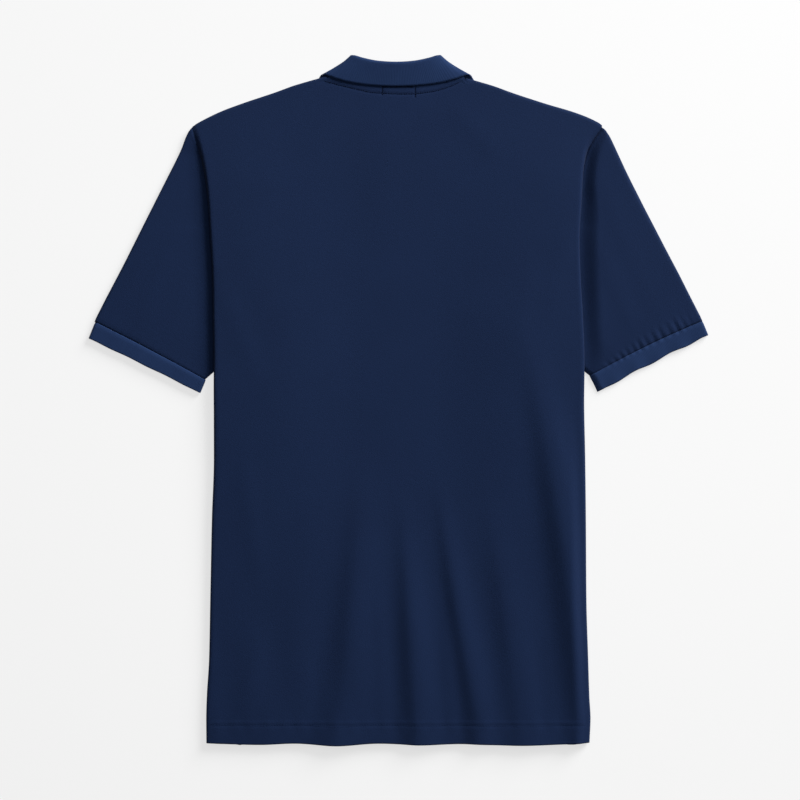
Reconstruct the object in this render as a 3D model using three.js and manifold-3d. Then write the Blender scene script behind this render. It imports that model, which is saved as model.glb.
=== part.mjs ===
// A short-sleeved polo shirt, laid out flat on its front with the back upwards.
// Millimetres, +Z up from the table, +Y towards the collar, X across the shoulders.
// The origin is on the table, under the middle of the shirt.
// The sides are turned under, as a shirt is dressed for a catalogue, so that each side edge is a
// fold of four layers. The sleeves come out from under those folds.
import * as THREE from "three";
import { mergeVertices } from "three/addons/utils/BufferGeometryUtils.js";
import Module from "manifold-3d";

// Cloth
const CLOTH = 1.5; // pique wall of the body and sleeves
const RIB = 1.6; // rib-knit wall of the collar and cuffs
const SEAM = 0.35; // gap between two pieces at a seam
const LAYERS = 1.95; // from the middle of one folded layer to the middle of the next
const TABLE = CLOTH / 2; // height of the middle of a wall that lies on the table

// Body
const HEM_Y = -375.6;
const TIP_X = 223; // half the width across the shoulder tips
const TIP_Y = 299.5;
const LOFT = 6.6; // height of the middle of the back's wall above the table
const SHOULDER_STRIP = 12; // how far the back's cloth runs over the shoulder onto the front
const ARMPIT_Y = 76;
const SLEEVE_STACK = 3.9; // what the two layers of a sleeve lift the folds that lie on them
const FOLDED_TO_Y = 185; // up to here the sides are turned right under

// Neck and placket
const NECK_CENTRE = -2.3; // the neck lies a little to one side, as the shirt was laid
const NECK_X = 75;
const NECK_BACK_Y = 348;
const NECK_SIDE_Y = 353.5;
const NECK_TURN_Y = 343; // where the neckline passes from the shoulder to the front
const NECK_FRONT_Y = 267;
const COLLAR_LIFT = 2.3; // the front lies on the collar's points and on the buttons by this much
const PLACKET_WIDTH = 30;
const PLACKET_LENGTH = 134;
const UNDER_STRIP_WIDTH = 34;
const UNDER_STRIP_WALL = 1.0;
const BUTTON_RADIUS = 5.5;
const BUTTON_HEIGHT = 2.0;
const BUTTON_SPACING = 50;
const BUTTON_COUNT = 3;
const BUTTON_HOLE = 0.9;

// Visible edge of the back panel, from the hem to the shoulder tip, on each side.
const SIDE_EDGE = [
  { y: -375.6, left: 209.2, right: 209.1 },
  { y: -348.8, left: 209.4, right: 210.2 },
  { y: -327, left: 208.8, right: 209.0 },
  { y: -283, left: 206.2, right: 207.6 },
  { y: -218, left: 204.9, right: 205.7 },
  { y: -131, left: 203.1, right: 205.1 },
  { y: -65, left: 200.9, right: 204.3 },
  { y: 0, left: 201.0, right: 203.1 },
  { y: 44, left: 200.8, right: 203.4 },
  { y: 87, left: 200.4, right: 201.8 },
  { y: 131, left: 200.0, right: 199.3 },
  { y: 174, left: 201.7, right: 198.0 },
  { y: 218, left: 203.8, right: 200.6 },
  { y: 240, left: 204.4, right: 201.7 },
  { y: 262, left: 206.0, right: 204.4 },
  { y: 273, left: 209.3, right: 207.1 },
  { y: 283, left: 215.0, right: 212.0 },
  { y: 291, left: 220.5, right: 217.5 },
  { y: 299.5, left: 224.6, right: 224.0 },
];

// How each side is turned under: width of the turned strip, share of a half turn, radius of the
// fold, and height at which the turned strip ends.
const SIDE_FOLD = [
  { y: -375.6, tuck: 57, turn: 1, radius: 3.5, end: 4.65 },
  { y: -200, tuck: 57, turn: 1, radius: 3.7, end: 4.65 },
  { y: -120, tuck: 57, turn: 1, radius: 4.3, end: 4.65 },
  { y: -60, tuck: 57, turn: 1, radius: 4.9, end: 4.65 },
  { y: -14, tuck: 57, turn: 1, radius: 5.3, end: 4.65 },
  { y: 18, tuck: 57, turn: 1, radius: 3.7, end: 4.65 },
  { y: 60, tuck: 57, turn: 1, radius: 3.5, end: 4.65 },
  { y: 76, tuck: 53, turn: 1, radius: 3.5, end: 4.65 },
  { y: 95, tuck: 42, turn: 1, radius: 3.5, end: 4.65 },
  { y: 120, tuck: 29, turn: 1, radius: 3.5, end: 4.65 },
  { y: 150, tuck: 17, turn: 1, radius: 3.5, end: 4.65 },
  { y: 185, tuck: 8, turn: 1, radius: 3.3, end: 4.65 },
  { y: 200, tuck: 5, turn: 0.8, radius: 3.0, end: 4.3 },
  { y: 215, tuck: 4, turn: 0.62, radius: 2.8, end: 4.2 },
  { y: 230, tuck: 4, turn: 0.45, radius: 2.6, end: 4.3 },
  { y: 245, tuck: 4, turn: 0.3, radius: 2.6, end: 4.6 },
  { y: 262, tuck: 4, turn: 0.17, radius: 2.6, end: 5.2 },
  { y: 280, tuck: 4, turn: 0.08, radius: 2.6, end: 5.7 },
  { y: 299.5, tuck: 4, turn: 0.03, radius: 2.6, end: 6.0 },
];

// Shoulder line, from the neck to the shoulder tip.
const SHOULDER_LINE = [
  { x: 0, y: 354.5 },
  { x: 72, y: 353.4 },
  { x: 80, y: 351.2 },
  { x: 91.5, y: 348.0 },
  { x: 108.6, y: 342.9 },
  { x: 127.3, y: 336.2 },
  { x: 147, y: 329.6 },
  { x: 168, y: 322.8 },
  { x: 188, y: 316.2 },
  { x: 204, y: 309.7 },
  { x: 217, y: 303.2 },
  { x: 223, y: 299.5 },
];
const SHOULDER_CENTRE = -5.6; // the shoulders lie this much to one side near the neck

// The wavy edge of the hem, from left to right: how far it dips under its mean line.
const HEM_LINE = [
  { x: -207, dip: -1.3 },
  { x: -151.5, dip: 0.3 },
  { x: -113.4, dip: -1.1 },
  { x: -67.6, dip: 1.3 },
  { x: -21.8, dip: -1.0 },
  { x: 24, dip: 0.5 },
  { x: 69.8, dip: -0.5 },
  { x: 130.8, dip: 1.0 },
  { x: 191.8, dip: -0.8 },
  { x: 208, dip: -1.9 },
];

// Soft folds of the back that fan out towards the hem. Each runs from its top to its low end,
// bowed sideways, and rises to its height at the hem.
const BACK_FOLDS = [
  { topX: -92, topY: 10, lowX: -112, lowY: -376, bow: 2, height: 1.4, width: 22 },
  { topX: -36, topY: -50, lowX: -64, lowY: -376, bow: 3, height: 3.6, width: 21 },
  { topX: 3, topY: -85, lowX: 22, lowY: -376, bow: 1, height: 3.4, width: 15 },
  { topX: 40, topY: -62, lowX: 88, lowY: -352, bow: -2, height: 2.4, width: 11 },
  { topX: 96, topY: -85, lowX: 137, lowY: -376, bow: 2, height: 3.2, width: 17 },
  { topX: 132, topY: 90, lowX: 207, lowY: -345, bow: 4, height: 4.6, width: 20 },
];

// Where each cuff lies: the outer and inner ends of its seam and of its free edge, how far its
// seam bows up, and the height of its ripples.
const SLEEVES = {
  left: {
    sign: -1,
    seam: { outer: [330.8, 85.6], inner: [210.4, 22.2] },
    edge: { outer: [338.4, 67.6], inner: [216.2, 7.6] },
    bow: 0.8,
    ripple: 0.25,
  },
  right: {
    sign: 1,
    seam: { outer: [332.6, 86.4], inner: [213.8, 25.4] },
    edge: { outer: [339.6, 70.4], inner: [222.0, 9.4] },
    bow: 2.6,
    ripple: 0.7,
  },
};
const ARMPIT_X = 149;
const SLEEVE_LOFT = 7.2;
const CUFF_LOFT = 5.6;
const CUFF_LOW = RIB / 2;
const SLEEVE_DIP = 16; // width of the hollow where a sleeve runs down under the body

// Collar, from the centre of the back round to the front end: the seam, the fold and the free
// edge, and the radius of the fold.
const COLLAR = [
  { seam: [0, 349.1, 7.2], fold: [0, 367.4, 16.5], edge: [0, 342.0, 9.6], radius: 2.6 },
  { seam: [22, 349.8, 7.2], fold: [20, 368.6, 16.2], edge: [24, 342.9, 9.6], radius: 2.6 },
  { seam: [43, 352.0, 7.1], fold: [36, 371.9, 14.6], edge: [47, 345.6, 9.6], radius: 2.4 },
  { seam: [61, 354.9, 6.9], fold: [44.3, 373.7, 12.0], edge: [65.5, 349.8, 9.9], radius: 2.1 },
  { seam: [70, 356, 5.6], fold: [47.4, 372.6, 9.0], edge: [79.2, 354.4, 7.4], radius: 1.8 },
  { seam: [73, 348.5, 3.8], fold: [47.6, 365, 5.2], edge: [84.2, 351.0, 1.8], radius: 1.5 },
  { seam: [73.4, 333.8, 3.2], fold: [46, 352, 2.4], edge: [90, 339, 0.8], radius: 1.2 },
  { seam: [65.6, 307.6, 3.05], fold: [40, 327, 1.95], edge: [87.5, 309, 0.8], radius: 1.15 },
  { seam: [47.8, 285.3, 3.05], fold: [30, 306, 1.95], edge: [78, 278, 0.8], radius: 1.15 },
  { seam: [27.8, 273.2, 3.05], fold: [18, 292, 1.95], edge: [63, 255, 0.8], radius: 1.15 },
  { seam: [12.3, 268.7, 3.05], fold: [7, 285, 1.95], edge: [49, 238, 0.8], radius: 1.15 },
];

// How finely the cloth is divided
const ACROSS = [18, 36, 54, 70, 84, 100, 122, 146, 170, 192, 209, 223];
const BACK_LOW_ROWS = [HEM_Y, -350, -312, -272, -232, -192, -152, -112, -72];
const FRONT_LOW_ROWS = [HEM_Y, -320, -260, -200, -140, -80];
const UNDERARM_ROWS = [-40, -18, -4, 8, 20, 32, 44, 56, 70];
const ARMHOLE_ROWS = [86, 100, 122, 152, 185, 200, 215, 230, 245, 258, 272, 284];
const TURN_STEPS = 4;
const STRIP_STEPS = 2;
const SHOULDER_STEPS = 3;
const SLEEVE_STEPS = [0, 0.05, 0.12, 0.2, 0.3, 0.44, 0.6, 0.76, 0.9, 1];
const CUFF_STEPS = [0, 0.5, 1];
const COLLAR_SUBSTEPS = 2;

const COLOURS = { body: "#1e2c4c", rib: "#263b63", button: "#18233c" };

const clamp = (v, low, high) => Math.min(high, Math.max(low, v));
const lerp = (a, b, t) => a + (b - a) * t;
const smooth = (t) => {
  const c = clamp(t, 0, 1);
  return c * c * (3 - 2 * c);
};
const range = (count) => Array.from({ length: count }, (_, k) => k);

// A smooth curve through one named column of a table, over its key column.
function curve(rows, key, column) {
  const xs = rows.map((r) => r[key]);
  const ys = rows.map((r) => r[column]);
  const slope = (i) => (ys[i + 1] - ys[i]) / (xs[i + 1] - xs[i]);
  const tangents = xs.map((_, i) => {
    if (i === 0) return slope(0);
    if (i === xs.length - 1) return slope(i - 1);
    const before = slope(i - 1);
    const after = slope(i);
    return before * after <= 0 ? 0 : (2 * before * after) / (before + after);
  });
  return (x) => {
    if (x <= xs[0]) return ys[0];
    if (x >= xs[xs.length - 1]) return ys[ys.length - 1];
    const i = xs.findIndex((_, k) => x < xs[k + 1]);
    const span = xs[i + 1] - xs[i];
    const t = (x - xs[i]) / span;
    const t2 = t * t;
    const t3 = t2 * t;
    return (
      (2 * t3 - 3 * t2 + 1) * ys[i] +
      (t3 - 2 * t2 + t) * span * tangents[i] +
      (3 * t2 - 2 * t3) * ys[i + 1] +
      (t3 - t2) * span * tangents[i + 1]
    );
  };
}

const edgeX = { left: curve(SIDE_EDGE, "y", "left"), right: curve(SIDE_EDGE, "y", "right") };
const tuckWidth = curve(SIDE_FOLD, "y", "tuck");
const turnShare = curve(SIDE_FOLD, "y", "turn");
const foldRadius = curve(SIDE_FOLD, "y", "radius");
const stripEnd = curve(SIDE_FOLD, "y", "end");
const shoulderY = curve(SHOULDER_LINE, "x", "y");
const sideOf = (x) => (x < 0 ? "left" : "right");
const hemDip = curve(HEM_LINE, "x", "dip");
const hemY = (x) => HEM_Y - hemDip(x);

// A strip of cloth that bends over an arc of a given length and then runs straight on. Gives how
// far it has reached sideways and how far it has dropped, at a share of the arc and a strip.
function bend(arc, angle, share, strip) {
  const turn = Math.max(angle, 0.001);
  const radius = arc / turn;
  const turned = turn * share;
  return {
    reach: radius * Math.sin(turned) + strip * Math.cos(turned),
    drop: radius * (1 - Math.cos(turned)) + strip * Math.sin(turned),
  };
}

// The furthest that such a bend reaches.
function bendReach(arc, angle) {
  const turn = Math.max(angle, 0.001);
  return (arc / turn) * Math.sin(Math.min(turn, Math.PI / 2));
}

// How far the sleeve under a side fold lifts the layers that lie on it.
function sleeveLift(x, y) {
  const inner = SLEEVES[sideOf(x)].seam.inner;
  const dx = inner[0] - ARMPIT_X;
  const dy = inner[1] - ARMPIT_Y;
  const above = ((y - ARMPIT_Y) * dx - (Math.abs(x) - ARMPIT_X) * dy) / Math.hypot(dx, dy);
  return SLEEVE_STACK * smooth((above + 36) / 24);
}

// How far the collar's points and the buttons lift the front from the table.
function frontLift(x, y) {
  const points = Math.hypot((x - NECK_CENTRE) / 108, (y - 330) / 116);
  const beside = Math.max(Math.abs(x - NECK_CENTRE) - PLACKET_WIDTH / 2, 0);
  const below = Math.max(NECK_FRONT_Y - PLACKET_LENGTH - y, 0);
  const collar = 1 - smooth((points - 1) / 0.24);
  const placket = 1 - smooth((Math.hypot(beside, below) - 4) / 16);
  return COLLAR_LIFT * Math.max(collar, placket);
}

// The fanned folds of the back, as a height over its plain form.
function foldHeight(x, y) {
  let sum = 0;
  for (const f of BACK_FOLDS) {
    const t = (y - f.topY) / (f.lowY - f.topY);
    const along = clamp(t, 0, 1);
    const crest = lerp(f.topX, f.lowX, along) + f.bow * 4 * along * (1 - along);
    const spread = f.width * lerp(0.75, 1.25, along) * (x < crest ? 0.8 : 1.2);
    sum += f.height * smooth(t * 1.6) * Math.exp(-(((x - crest) / spread) ** 2));
  }
  return sum;
}

// The side fold of the body at a height y: its size, where it starts and where its strip ends.
function sideFold(side, y) {
  const radius = foldRadius(y);
  const angle = Math.PI * turnShare(y);
  const arc = Math.PI * radius;
  const edge = edgeX[side](y);
  const start = edge - CLOTH / 2 - bendReach(arc, angle);
  const strip = Math.max(1, tuckWidth(y) - radius - CLOTH / 2);
  const end = bend(arc, angle, 1, strip);
  const sign = side === "left" ? -1 : 1;
  const foot = y < FOLDED_TO_Y ? TABLE + sleeveLift(sign * (edge - 2), y) : stripEnd(y);
  return { sign, radius, angle, arc, edge, start, strip, foot, endX: start + end.reach, top: foot + end.drop };
}

// How much of the joint under the arm is formed at a height y, from the armpit upwards.
const armholeShare = (y) => smooth((y - ARMPIT_Y - 3) / 12);

// Where the front's wall ends in the armhole, and where the sleeve's lower layer begins.
function armholeLow(side, y) {
  const fold = sideFold(side, y);
  const under = smooth((turnShare(y) - 0.1) / 0.5);
  const end = lerp(fold.endX, Math.min(fold.endX - 1.1, fold.start + 1.2), under);
  const x = turnShare(y) > 0.99 ? fold.endX - 1.1 : end;
  const z = lerp(TABLE, CLOTH + SEAM + 0.25, smooth(under / 0.5));
  const outward = x + SEAM + 0.1 - 1.2 * smooth((under - 0.5) / 0.5);
  return { x, z, sleeveX: lerp(fold.endX, outward, armholeShare(y)) };
}

// Where a sleeve's upper layer begins: under the end of the turned strip, or against it.
function armholeTop(side, y) {
  const fold = sideFold(side, y);
  const lean = Math.min(fold.angle, Math.PI / 2);
  const off = SEAM + CLOTH * turnShare(y);
  const z = fold.foot - off * Math.sin(lean);
  return { x: fold.endX + (off + 0.1) * Math.cos(lean), z: Math.max(z, CLOTH + TABLE + 0.3) };
}

// Height of the main part of a body panel at a place.
function mainHeight(panel, x, y, fold) {
  const off = Math.abs(x);
  const inner = Math.min(fold.start, fold.endX);
  if (panel === "front") {
    const flat = TABLE + frontLift(x, y);
    const high = frontTopHeight(fold, y);
    return Math.max(flat, lerp(flat, high, smooth((off - inner + 36) / 28)));
  }
  const rise = smooth((off - 40) / (inner - 50));
  const fade = 1 - smooth((off - fold.start + 26) / 24);
  return lerp(LOFT, fold.top, rise) + foldHeight(x, y) * fade;
}

// Height of the front where its side fold starts: inside the back's fold, and down on the table at
// the shoulder.
function frontTopHeight(fold, y) {
  return lerp(fold.top - LAYERS, TABLE, smooth((y - 228) / 46));
}

// Columns of a body panel. A column runs at a share of the width of the main part, or at a share
// of the turn of the side fold, or at a share of the strip that is turned under.
function bodyColumns(panel) {
  const half = (sign) => {
    const main = ACROSS.map((x) => ({ sign, share: x / TIP_X, turn: 0, strip: 0, drop: 0 }));
    const turn = range(TURN_STEPS).map((k) => ({
      sign, share: 1, turn: (k + 1) / TURN_STEPS, strip: 0, drop: 0,
    }));
    const strip = range(STRIP_STEPS).map((k) => ({
      sign, share: 1, turn: 1, strip: (k + 1) / STRIP_STEPS, drop: 0,
    }));
    const drop = panel === "front" ? [{ sign, share: 1, turn: 1, strip: 1, drop: 1 }] : [];
    return [...main, ...turn, ...strip, ...drop];
  };
  return [...half(-1).reverse(), { sign: 1, share: 0, turn: 0, strip: 0, drop: 0 }, ...half(1)];
}

// A point of a body panel's wall, at a column and a height of its side edge.
function bodyPoint(panel, column, edgeY, top) {
  const side = column.sign < 0 ? "left" : "right";
  const fold = sideFold(side, edgeY);
  const front = panel === "front";
  const turned = front ? turnShare(edgeY) : 1;
  const radius = front ? Math.max(fold.radius - LAYERS, 0.8) : fold.radius;
  const inset = front ? 3 * smooth((edgeY - 186) / 14) : 0;
  const joint = front ? 1.1 * armholeShare(edgeY) : 0;
  const reach = bend(Math.PI * radius, fold.angle, column.turn, (fold.strip + joint) * column.strip);
  let x = column.share * (fold.start - inset) + reach.reach;
  const up = (edgeY - HEM_Y) / (top.edge(column) - HEM_Y);
  const y = lerp(hemY(x * column.sign * (1 - column.strip)), top.at(column), up);
  let z = (front ? frontTopHeight(fold, edgeY) : fold.top) - reach.drop;
  if (column.turn === 0) z = mainHeight(panel, column.sign * x, y, fold);
  if (column.strip > 0 && edgeY <= FOLDED_TO_Y) {
    z = TABLE + (front ? LAYERS : 0) + sleeveLift(column.sign * x, edgeY);
  }
  if (column.drop > 0) {
    const low = armholeLow(side, edgeY);
    const share = armholeShare(edgeY);
    x = lerp(x - 0.8, low.x, share);
    z = lerp(z, low.z, share);
  }
  return [column.sign * x, y, Math.max(z, TABLE)];
}

// How the back's cloth goes over the shoulder at a column: the radius of the roll, and its start.
function shoulderRoll(column) {
  const edgeFold = sideFold(column.sign < 0 ? "left" : "right", TIP_Y - 4);
  const over = bend(edgeFold.arc, edgeFold.angle, column.turn, edgeFold.strip * column.strip);
  const x = column.sign * (column.share * edgeFold.start + over.reach);
  const shift = SHOULDER_CENTRE * smooth((216 - Math.abs(x)) / 60);
  const line = shoulderY(Math.abs(x - shift));
  const low = TABLE + frontLift(x, line - 8);
  const z = mainHeight("back", x, line, edgeFold) - (column.turn > 0 ? 0.3 : 0);
  const radius = (z - low) / 2;
  return { radius, start: line - CLOTH / 2 - radius };
}

// Where a panel's columns end at the shoulder, a little short of where the back's cloth rolls over.
function panelTop(short) {
  const at = (column) => shoulderRoll(column).start - short;
  return { at, edge: (column) => at({ sign: column.sign, share: 1, turn: 1, strip: 1 }) };
}

function backGrid() {
  const top = panelTop(0);
  return bodyColumns("back").map((column) => {
    const rows = [...BACK_LOW_ROWS, ...UNDERARM_ROWS, ...ARMHOLE_ROWS, top.edge(column)];
    const flat = rows.map((y) => bodyPoint("back", column, y, top));
    const [x, y, z] = flat[flat.length - 1];
    const roll = shoulderRoll(column);
    const radius = Math.min(roll.radius, (z - TABLE) / 2);
    const over = range(SHOULDER_STEPS).map((k) => {
      const b = bend(Math.PI * radius, Math.PI, (k + 1) / SHOULDER_STEPS, 0);
      return [x, y + b.reach, z - b.drop];
    });
    const ends = [0.5, 1].map((t) => {
      const endY = y - SHOULDER_STRIP * t;
      const outer = edgeX[sideOf(column.sign)](endY) - edgeX[sideOf(column.sign)](y);
      return [x + column.sign * outer * smooth((column.share - 0.8) / 0.15), endY, z - 2 * radius];
    });
    return [...flat, ...over, ...ends];
  });
}

function frontGrid() {
  const top = panelTop(SHOULDER_STRIP + SEAM);
  const armhole = ARMHOLE_ROWS.slice(0, -1);
  return bodyColumns("front").map((column) => {
    const rows = [...FRONT_LOW_ROWS, ...UNDERARM_ROWS, ...armhole, top.edge(column)];
    return rows.map((y) => bodyPoint("front", column, y, top));
  });
}

// Height of a sleeve's upper layer at a place.
function sleeveHeight(side, x, y, along) {
  const low = armholeTop(side, clamp(y, FOLDED_TO_Y + 1, TIP_Y)).z;
  const outside = (x - edgeX[side](clamp(y, HEM_Y, TIP_Y)) - 1.5) / SLEEVE_DIP;
  const loft = lerp(SLEEVE_LOFT, CUFF_LOFT, smooth((along - 0.6) / 0.4));
  return lerp(low, Math.max(loft, low * (1 - along)), smooth(outside));
}

// Points round a fold that joins two layers, from a to b, bulging away from the cloth.
function foldPoints(a, b, away, steps) {
  const radius = Math.abs(a[2] - b[2]) / 2;
  return range(steps - 1).map((k) => {
    const t = (Math.PI * (k + 1)) / steps;
    const mix = (1 - Math.cos(t)) / 2;
    const out = radius * Math.sin(t);
    return [
      lerp(a[0], b[0], mix) + away[0] * out,
      lerp(a[1], b[1], mix) + away[1] * out,
      lerp(a[2], b[2], mix),
    ];
  });
}

function direction(from, to) {
  const length = Math.hypot(to[0] - from[0], to[1] - from[1]);
  return [(to[0] - from[0]) / length, (to[1] - from[1]) / length];
}

// Share of the cuff's width at which each station of a sleeve ring meets the cuff.
const ringShare = (k) => lerp(0.025, 0.982, k / (ARMHOLE_ROWS.length + 1));

// One ring round a sleeve: the upper layer from the outer fold to the underarm, then the lower
// layer back again.
function sleeveRing(side, along) {
  const s = SLEEVES[side];
  const stations = [TIP_Y - 3.8, ...ARMHOLE_ROWS.slice().reverse(), ARMPIT_Y + 1];
  const place = (x, y, k) => {
    const q = ringShare(k);
    const ripple = s.ripple * Math.sin(q * 62) * smooth((along - 0.75) * 4);
    const bow = s.bow * 4 * q * (1 - q) * along * along;
    const seamX = lerp(s.seam.outer[0], s.seam.inner[0], q);
    const seamY = lerp(s.seam.outer[1], s.seam.inner[1], q);
    const clear = k === 0 ? 0.9 : 0;
    return [lerp(x + clear, seamX, along), lerp(y, seamY, along) + bow, ripple];
  };
  const upper = stations.map((y, k) => {
    const [px, py, ripple] = place(armholeTop(side, y).x, y, k);
    return [px, py, sleeveHeight(side, px, py, along) + ripple];
  });
  const lower = stations.map((y, k) => {
    const [px, py] = place(armholeLow(side, y).sleeveX, y, k);
    return [px, py, TABLE];
  });
  const run = direction([TIP_X, TIP_Y], s.seam.outer);
  const arm = direction([ARMPIT_X, ARMPIT_Y], s.seam.inner);
  const across = direction(s.seam.outer, s.seam.inner);
  const blend = (a, b, t) => new THREE.Vector2(...a).lerp(new THREE.Vector2(...b), t).normalize().toArray();
  const atCuff = smooth((along - 0.6) / 0.4);
  const outer = blend(blend([0, 1], [-run[1], run[0]], smooth(along / 0.2)), [-across[0], -across[1]], atCuff);
  const inner = blend([arm[1], -arm[0]], across, atCuff);
  const n = stations.length - 1;
  const ring = [
    ...upper,
    ...foldPoints(upper[n], lower[n], inner, 3),
    ...lower.slice().reverse(),
    ...foldPoints(lower[0], upper[0], outer, 4),
  ];
  return ring.map(([x, y, z]) => [s.sign * x, y, z]);
}

// One ring round a cuff, at a share of the way from its seam to its free edge.
function cuffRing(side, along) {
  const s = SLEEVES[side];
  const gap = 0.022 * (1 - along);
  const t = along + gap;
  const outer = [lerp(s.seam.outer[0], s.edge.outer[0], t), lerp(s.seam.outer[1], s.edge.outer[1], t)];
  const inner = [lerp(s.seam.inner[0], s.edge.inner[0], t), lerp(s.seam.inner[1], s.edge.inner[1], t)];
  const stations = range(ARMHOLE_ROWS.length + 2).map((k) => {
    const q = ringShare(k);
    const bow = s.bow * 4 * q * (1 - q);
    return [lerp(outer[0], inner[0], q), lerp(outer[1], inner[1], q) + bow, q];
  });
  const height = lerp(CUFF_LOFT, CUFF_LOFT - 0.7, along);
  const upper = stations.map(([x, y, q]) => [x, y, height + s.ripple * Math.sin(q * 62) * (1 - along)]);
  const lower = stations.map(([x, y]) => [x, y, CUFF_LOW]);
  const across = direction(outer, inner);
  const n = stations.length - 1;
  const ring = [
    ...upper,
    ...foldPoints(upper[n], lower[n], across, 3),
    ...lower.slice().reverse(),
    ...foldPoints(lower[0], upper[0], [-across[0], -across[1]], 4),
  ];
  return ring.map(([x, y, z]) => [s.sign * x, y, z]);
}

// The collar's sections, from one front end round the back to the other.
function collarGrid() {
  const points = ["seam", "fold", "edge"].map((name) => {
    const half = COLLAR.map((s) => new THREE.Vector3(...s[name]));
    const other = half.slice(1).reverse().map((p) => new THREE.Vector3(-p.x, p.y, p.z));
    return [...other, ...half];
  });
  const radii = [...COLLAR.slice(1).reverse(), ...COLLAR].map((s) => s.radius);
  const count = radii.length;
  const between = (list, i, t) => {
    const p = [i - 1, i, i + 1, i + 2].map((k) => list[clamp(k, 0, count - 1)]);
    const value = new THREE.Vector3();
    for (const axis of ["x", "y", "z"]) {
      const [a, b, c, d] = p.map((v) => v[axis]);
      const cubic = 2 * b + (c - a) * t + (2 * a - 5 * b + 4 * c - d) * t * t;
      value[axis] = 0.5 * (cubic + (3 * b - a - 3 * c + d) * t * t * t);
    }
    return value;
  };
  const stations = [];
  for (let i = 0; i < count; i += 1) {
    const steps = i === count - 1 ? 1 : COLLAR_SUBSTEPS;
    for (let k = 0; k < steps; k += 1) {
      const t = k / COLLAR_SUBSTEPS;
      const [seam, fold, edge] = points.map((list) => between(list, i, t));
      stations.push({ seam, fold, edge, radius: lerp(radii[i], radii[Math.min(i + 1, count - 1)], t) });
    }
  }
  return stations.map((s, i) => {
    const before = stations[Math.max(i - 1, 0)].fold;
    const after = stations[Math.min(i + 1, stations.length - 1)].fold;
    const sweep = after.clone().sub(before).normalize();
    const base = s.seam.clone().add(s.edge).multiplyScalar(0.5);
    const out = s.fold.clone().sub(base).normalize();
    const over = sweep.clone().cross(out).normalize();
    const centre = s.fold.clone().addScaledVector(out, -s.radius);
    const around = [-1, -0.5, 0, 0.5, 1].map((t) => {
      const angle = (t * Math.PI) / 2;
      const side = over.clone().multiplyScalar(Math.sin(angle) * s.radius);
      return centre.clone().add(side).addScaledVector(out, Math.cos(angle) * s.radius);
    });
    const rise = s.seam.clone().lerp(around[0], 0.5);
    const fall = around[4].clone().lerp(s.edge, 0.5);
    return [s.seam, rise, ...around, fall, s.edge].map((p) => [p.x + NECK_CENTRE, p.y, p.z]);
  });
}

// Unit direction of a row of points at one of them, and how much its wall is widened at a bend.
function heading(before, at, after) {
  const first = new THREE.Vector3().subVectors(at, before ?? at);
  const second = new THREE.Vector3().subVectors(after ?? at, at);
  if (!before) return { tangent: second.normalize(), widen: 1 };
  if (!after) return { tangent: first.normalize(), widen: 1 };
  first.normalize();
  second.normalize();
  const half = Math.sqrt(Math.max((1 + first.dot(second)) / 2, 0.3));
  return { tangent: first.add(second).normalize(), widen: 1 / half };
}

// A closed wall round a grid of points of its middle. A ring grid is closed round its second index.
function wall(grid, thickness, ring = false) {
  const rows = grid.map((row) => row.map((p) => new THREE.Vector3(...p)));
  const n = rows.length;
  const m = rows[0].length;
  const positions = [];
  for (const side of [1, -1]) {
    for (let i = 0; i < n; i += 1) {
      for (let j = 0; j < m; j += 1) {
        const at = rows[i][j];
        const u = heading(rows[i - 1]?.[j], at, rows[i + 1]?.[j]);
        const left = ring ? rows[i][(j + m - 1) % m] : rows[i][j - 1];
        const right = ring ? rows[i][(j + 1) % m] : rows[i][j + 1];
        const v = heading(left, at, right);
        const normal = u.tangent.clone().cross(v.tangent).normalize();
        const p = at.clone().addScaledVector(normal, (side * thickness * u.widen * v.widen) / 2);
        positions.push(p.x, p.y, p.z);
      }
    }
  }
  const id = (side, i, j) => side * n * m + i * m + ((j + m) % m);
  const faces = [];
  const quad = (a, b, c, d) => faces.push(a, b, c, a, c, d);
  const columns = ring ? m : m - 1;
  for (let i = 0; i < n - 1; i += 1) {
    for (let j = 0; j < columns; j += 1) {
      quad(id(0, i, j), id(0, i + 1, j), id(0, i + 1, j + 1), id(0, i, j + 1));
      quad(id(1, i, j), id(1, i, j + 1), id(1, i + 1, j + 1), id(1, i + 1, j));
    }
  }
  for (let j = 0; j < columns; j += 1) {
    quad(id(0, 0, j), id(0, 0, j + 1), id(1, 0, j + 1), id(1, 0, j));
    quad(id(0, n - 1, j), id(1, n - 1, j), id(1, n - 1, j + 1), id(0, n - 1, j + 1));
  }
  for (let i = 0; i < n - 1 && !ring; i += 1) {
    quad(id(0, i, 0), id(1, i, 0), id(1, i + 1, 0), id(0, i + 1, 0));
    quad(id(0, i, m - 1), id(0, i + 1, m - 1), id(1, i + 1, m - 1), id(1, i, m - 1));
  }
  return outward(positions, faces);
}

// Geometry from points and faces, with its faces turned outwards.
function outward(positions, faces) {
  let volume = 0;
  const at = (k) => new THREE.Vector3(...positions.slice(3 * k, 3 * k + 3));
  for (let f = 0; f < faces.length; f += 3) {
    volume += at(faces[f]).dot(at(faces[f + 1]).cross(at(faces[f + 2])));
  }
  const turned = volume < 0 ? faces.slice().reverse() : faces;
  const geometry = new THREE.BufferGeometry();
  geometry.setAttribute("position", new THREE.Float32BufferAttribute(positions, 3));
  geometry.setIndex(turned);
  return geometry;
}

const kernel = await Module();
kernel.setup();

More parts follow.
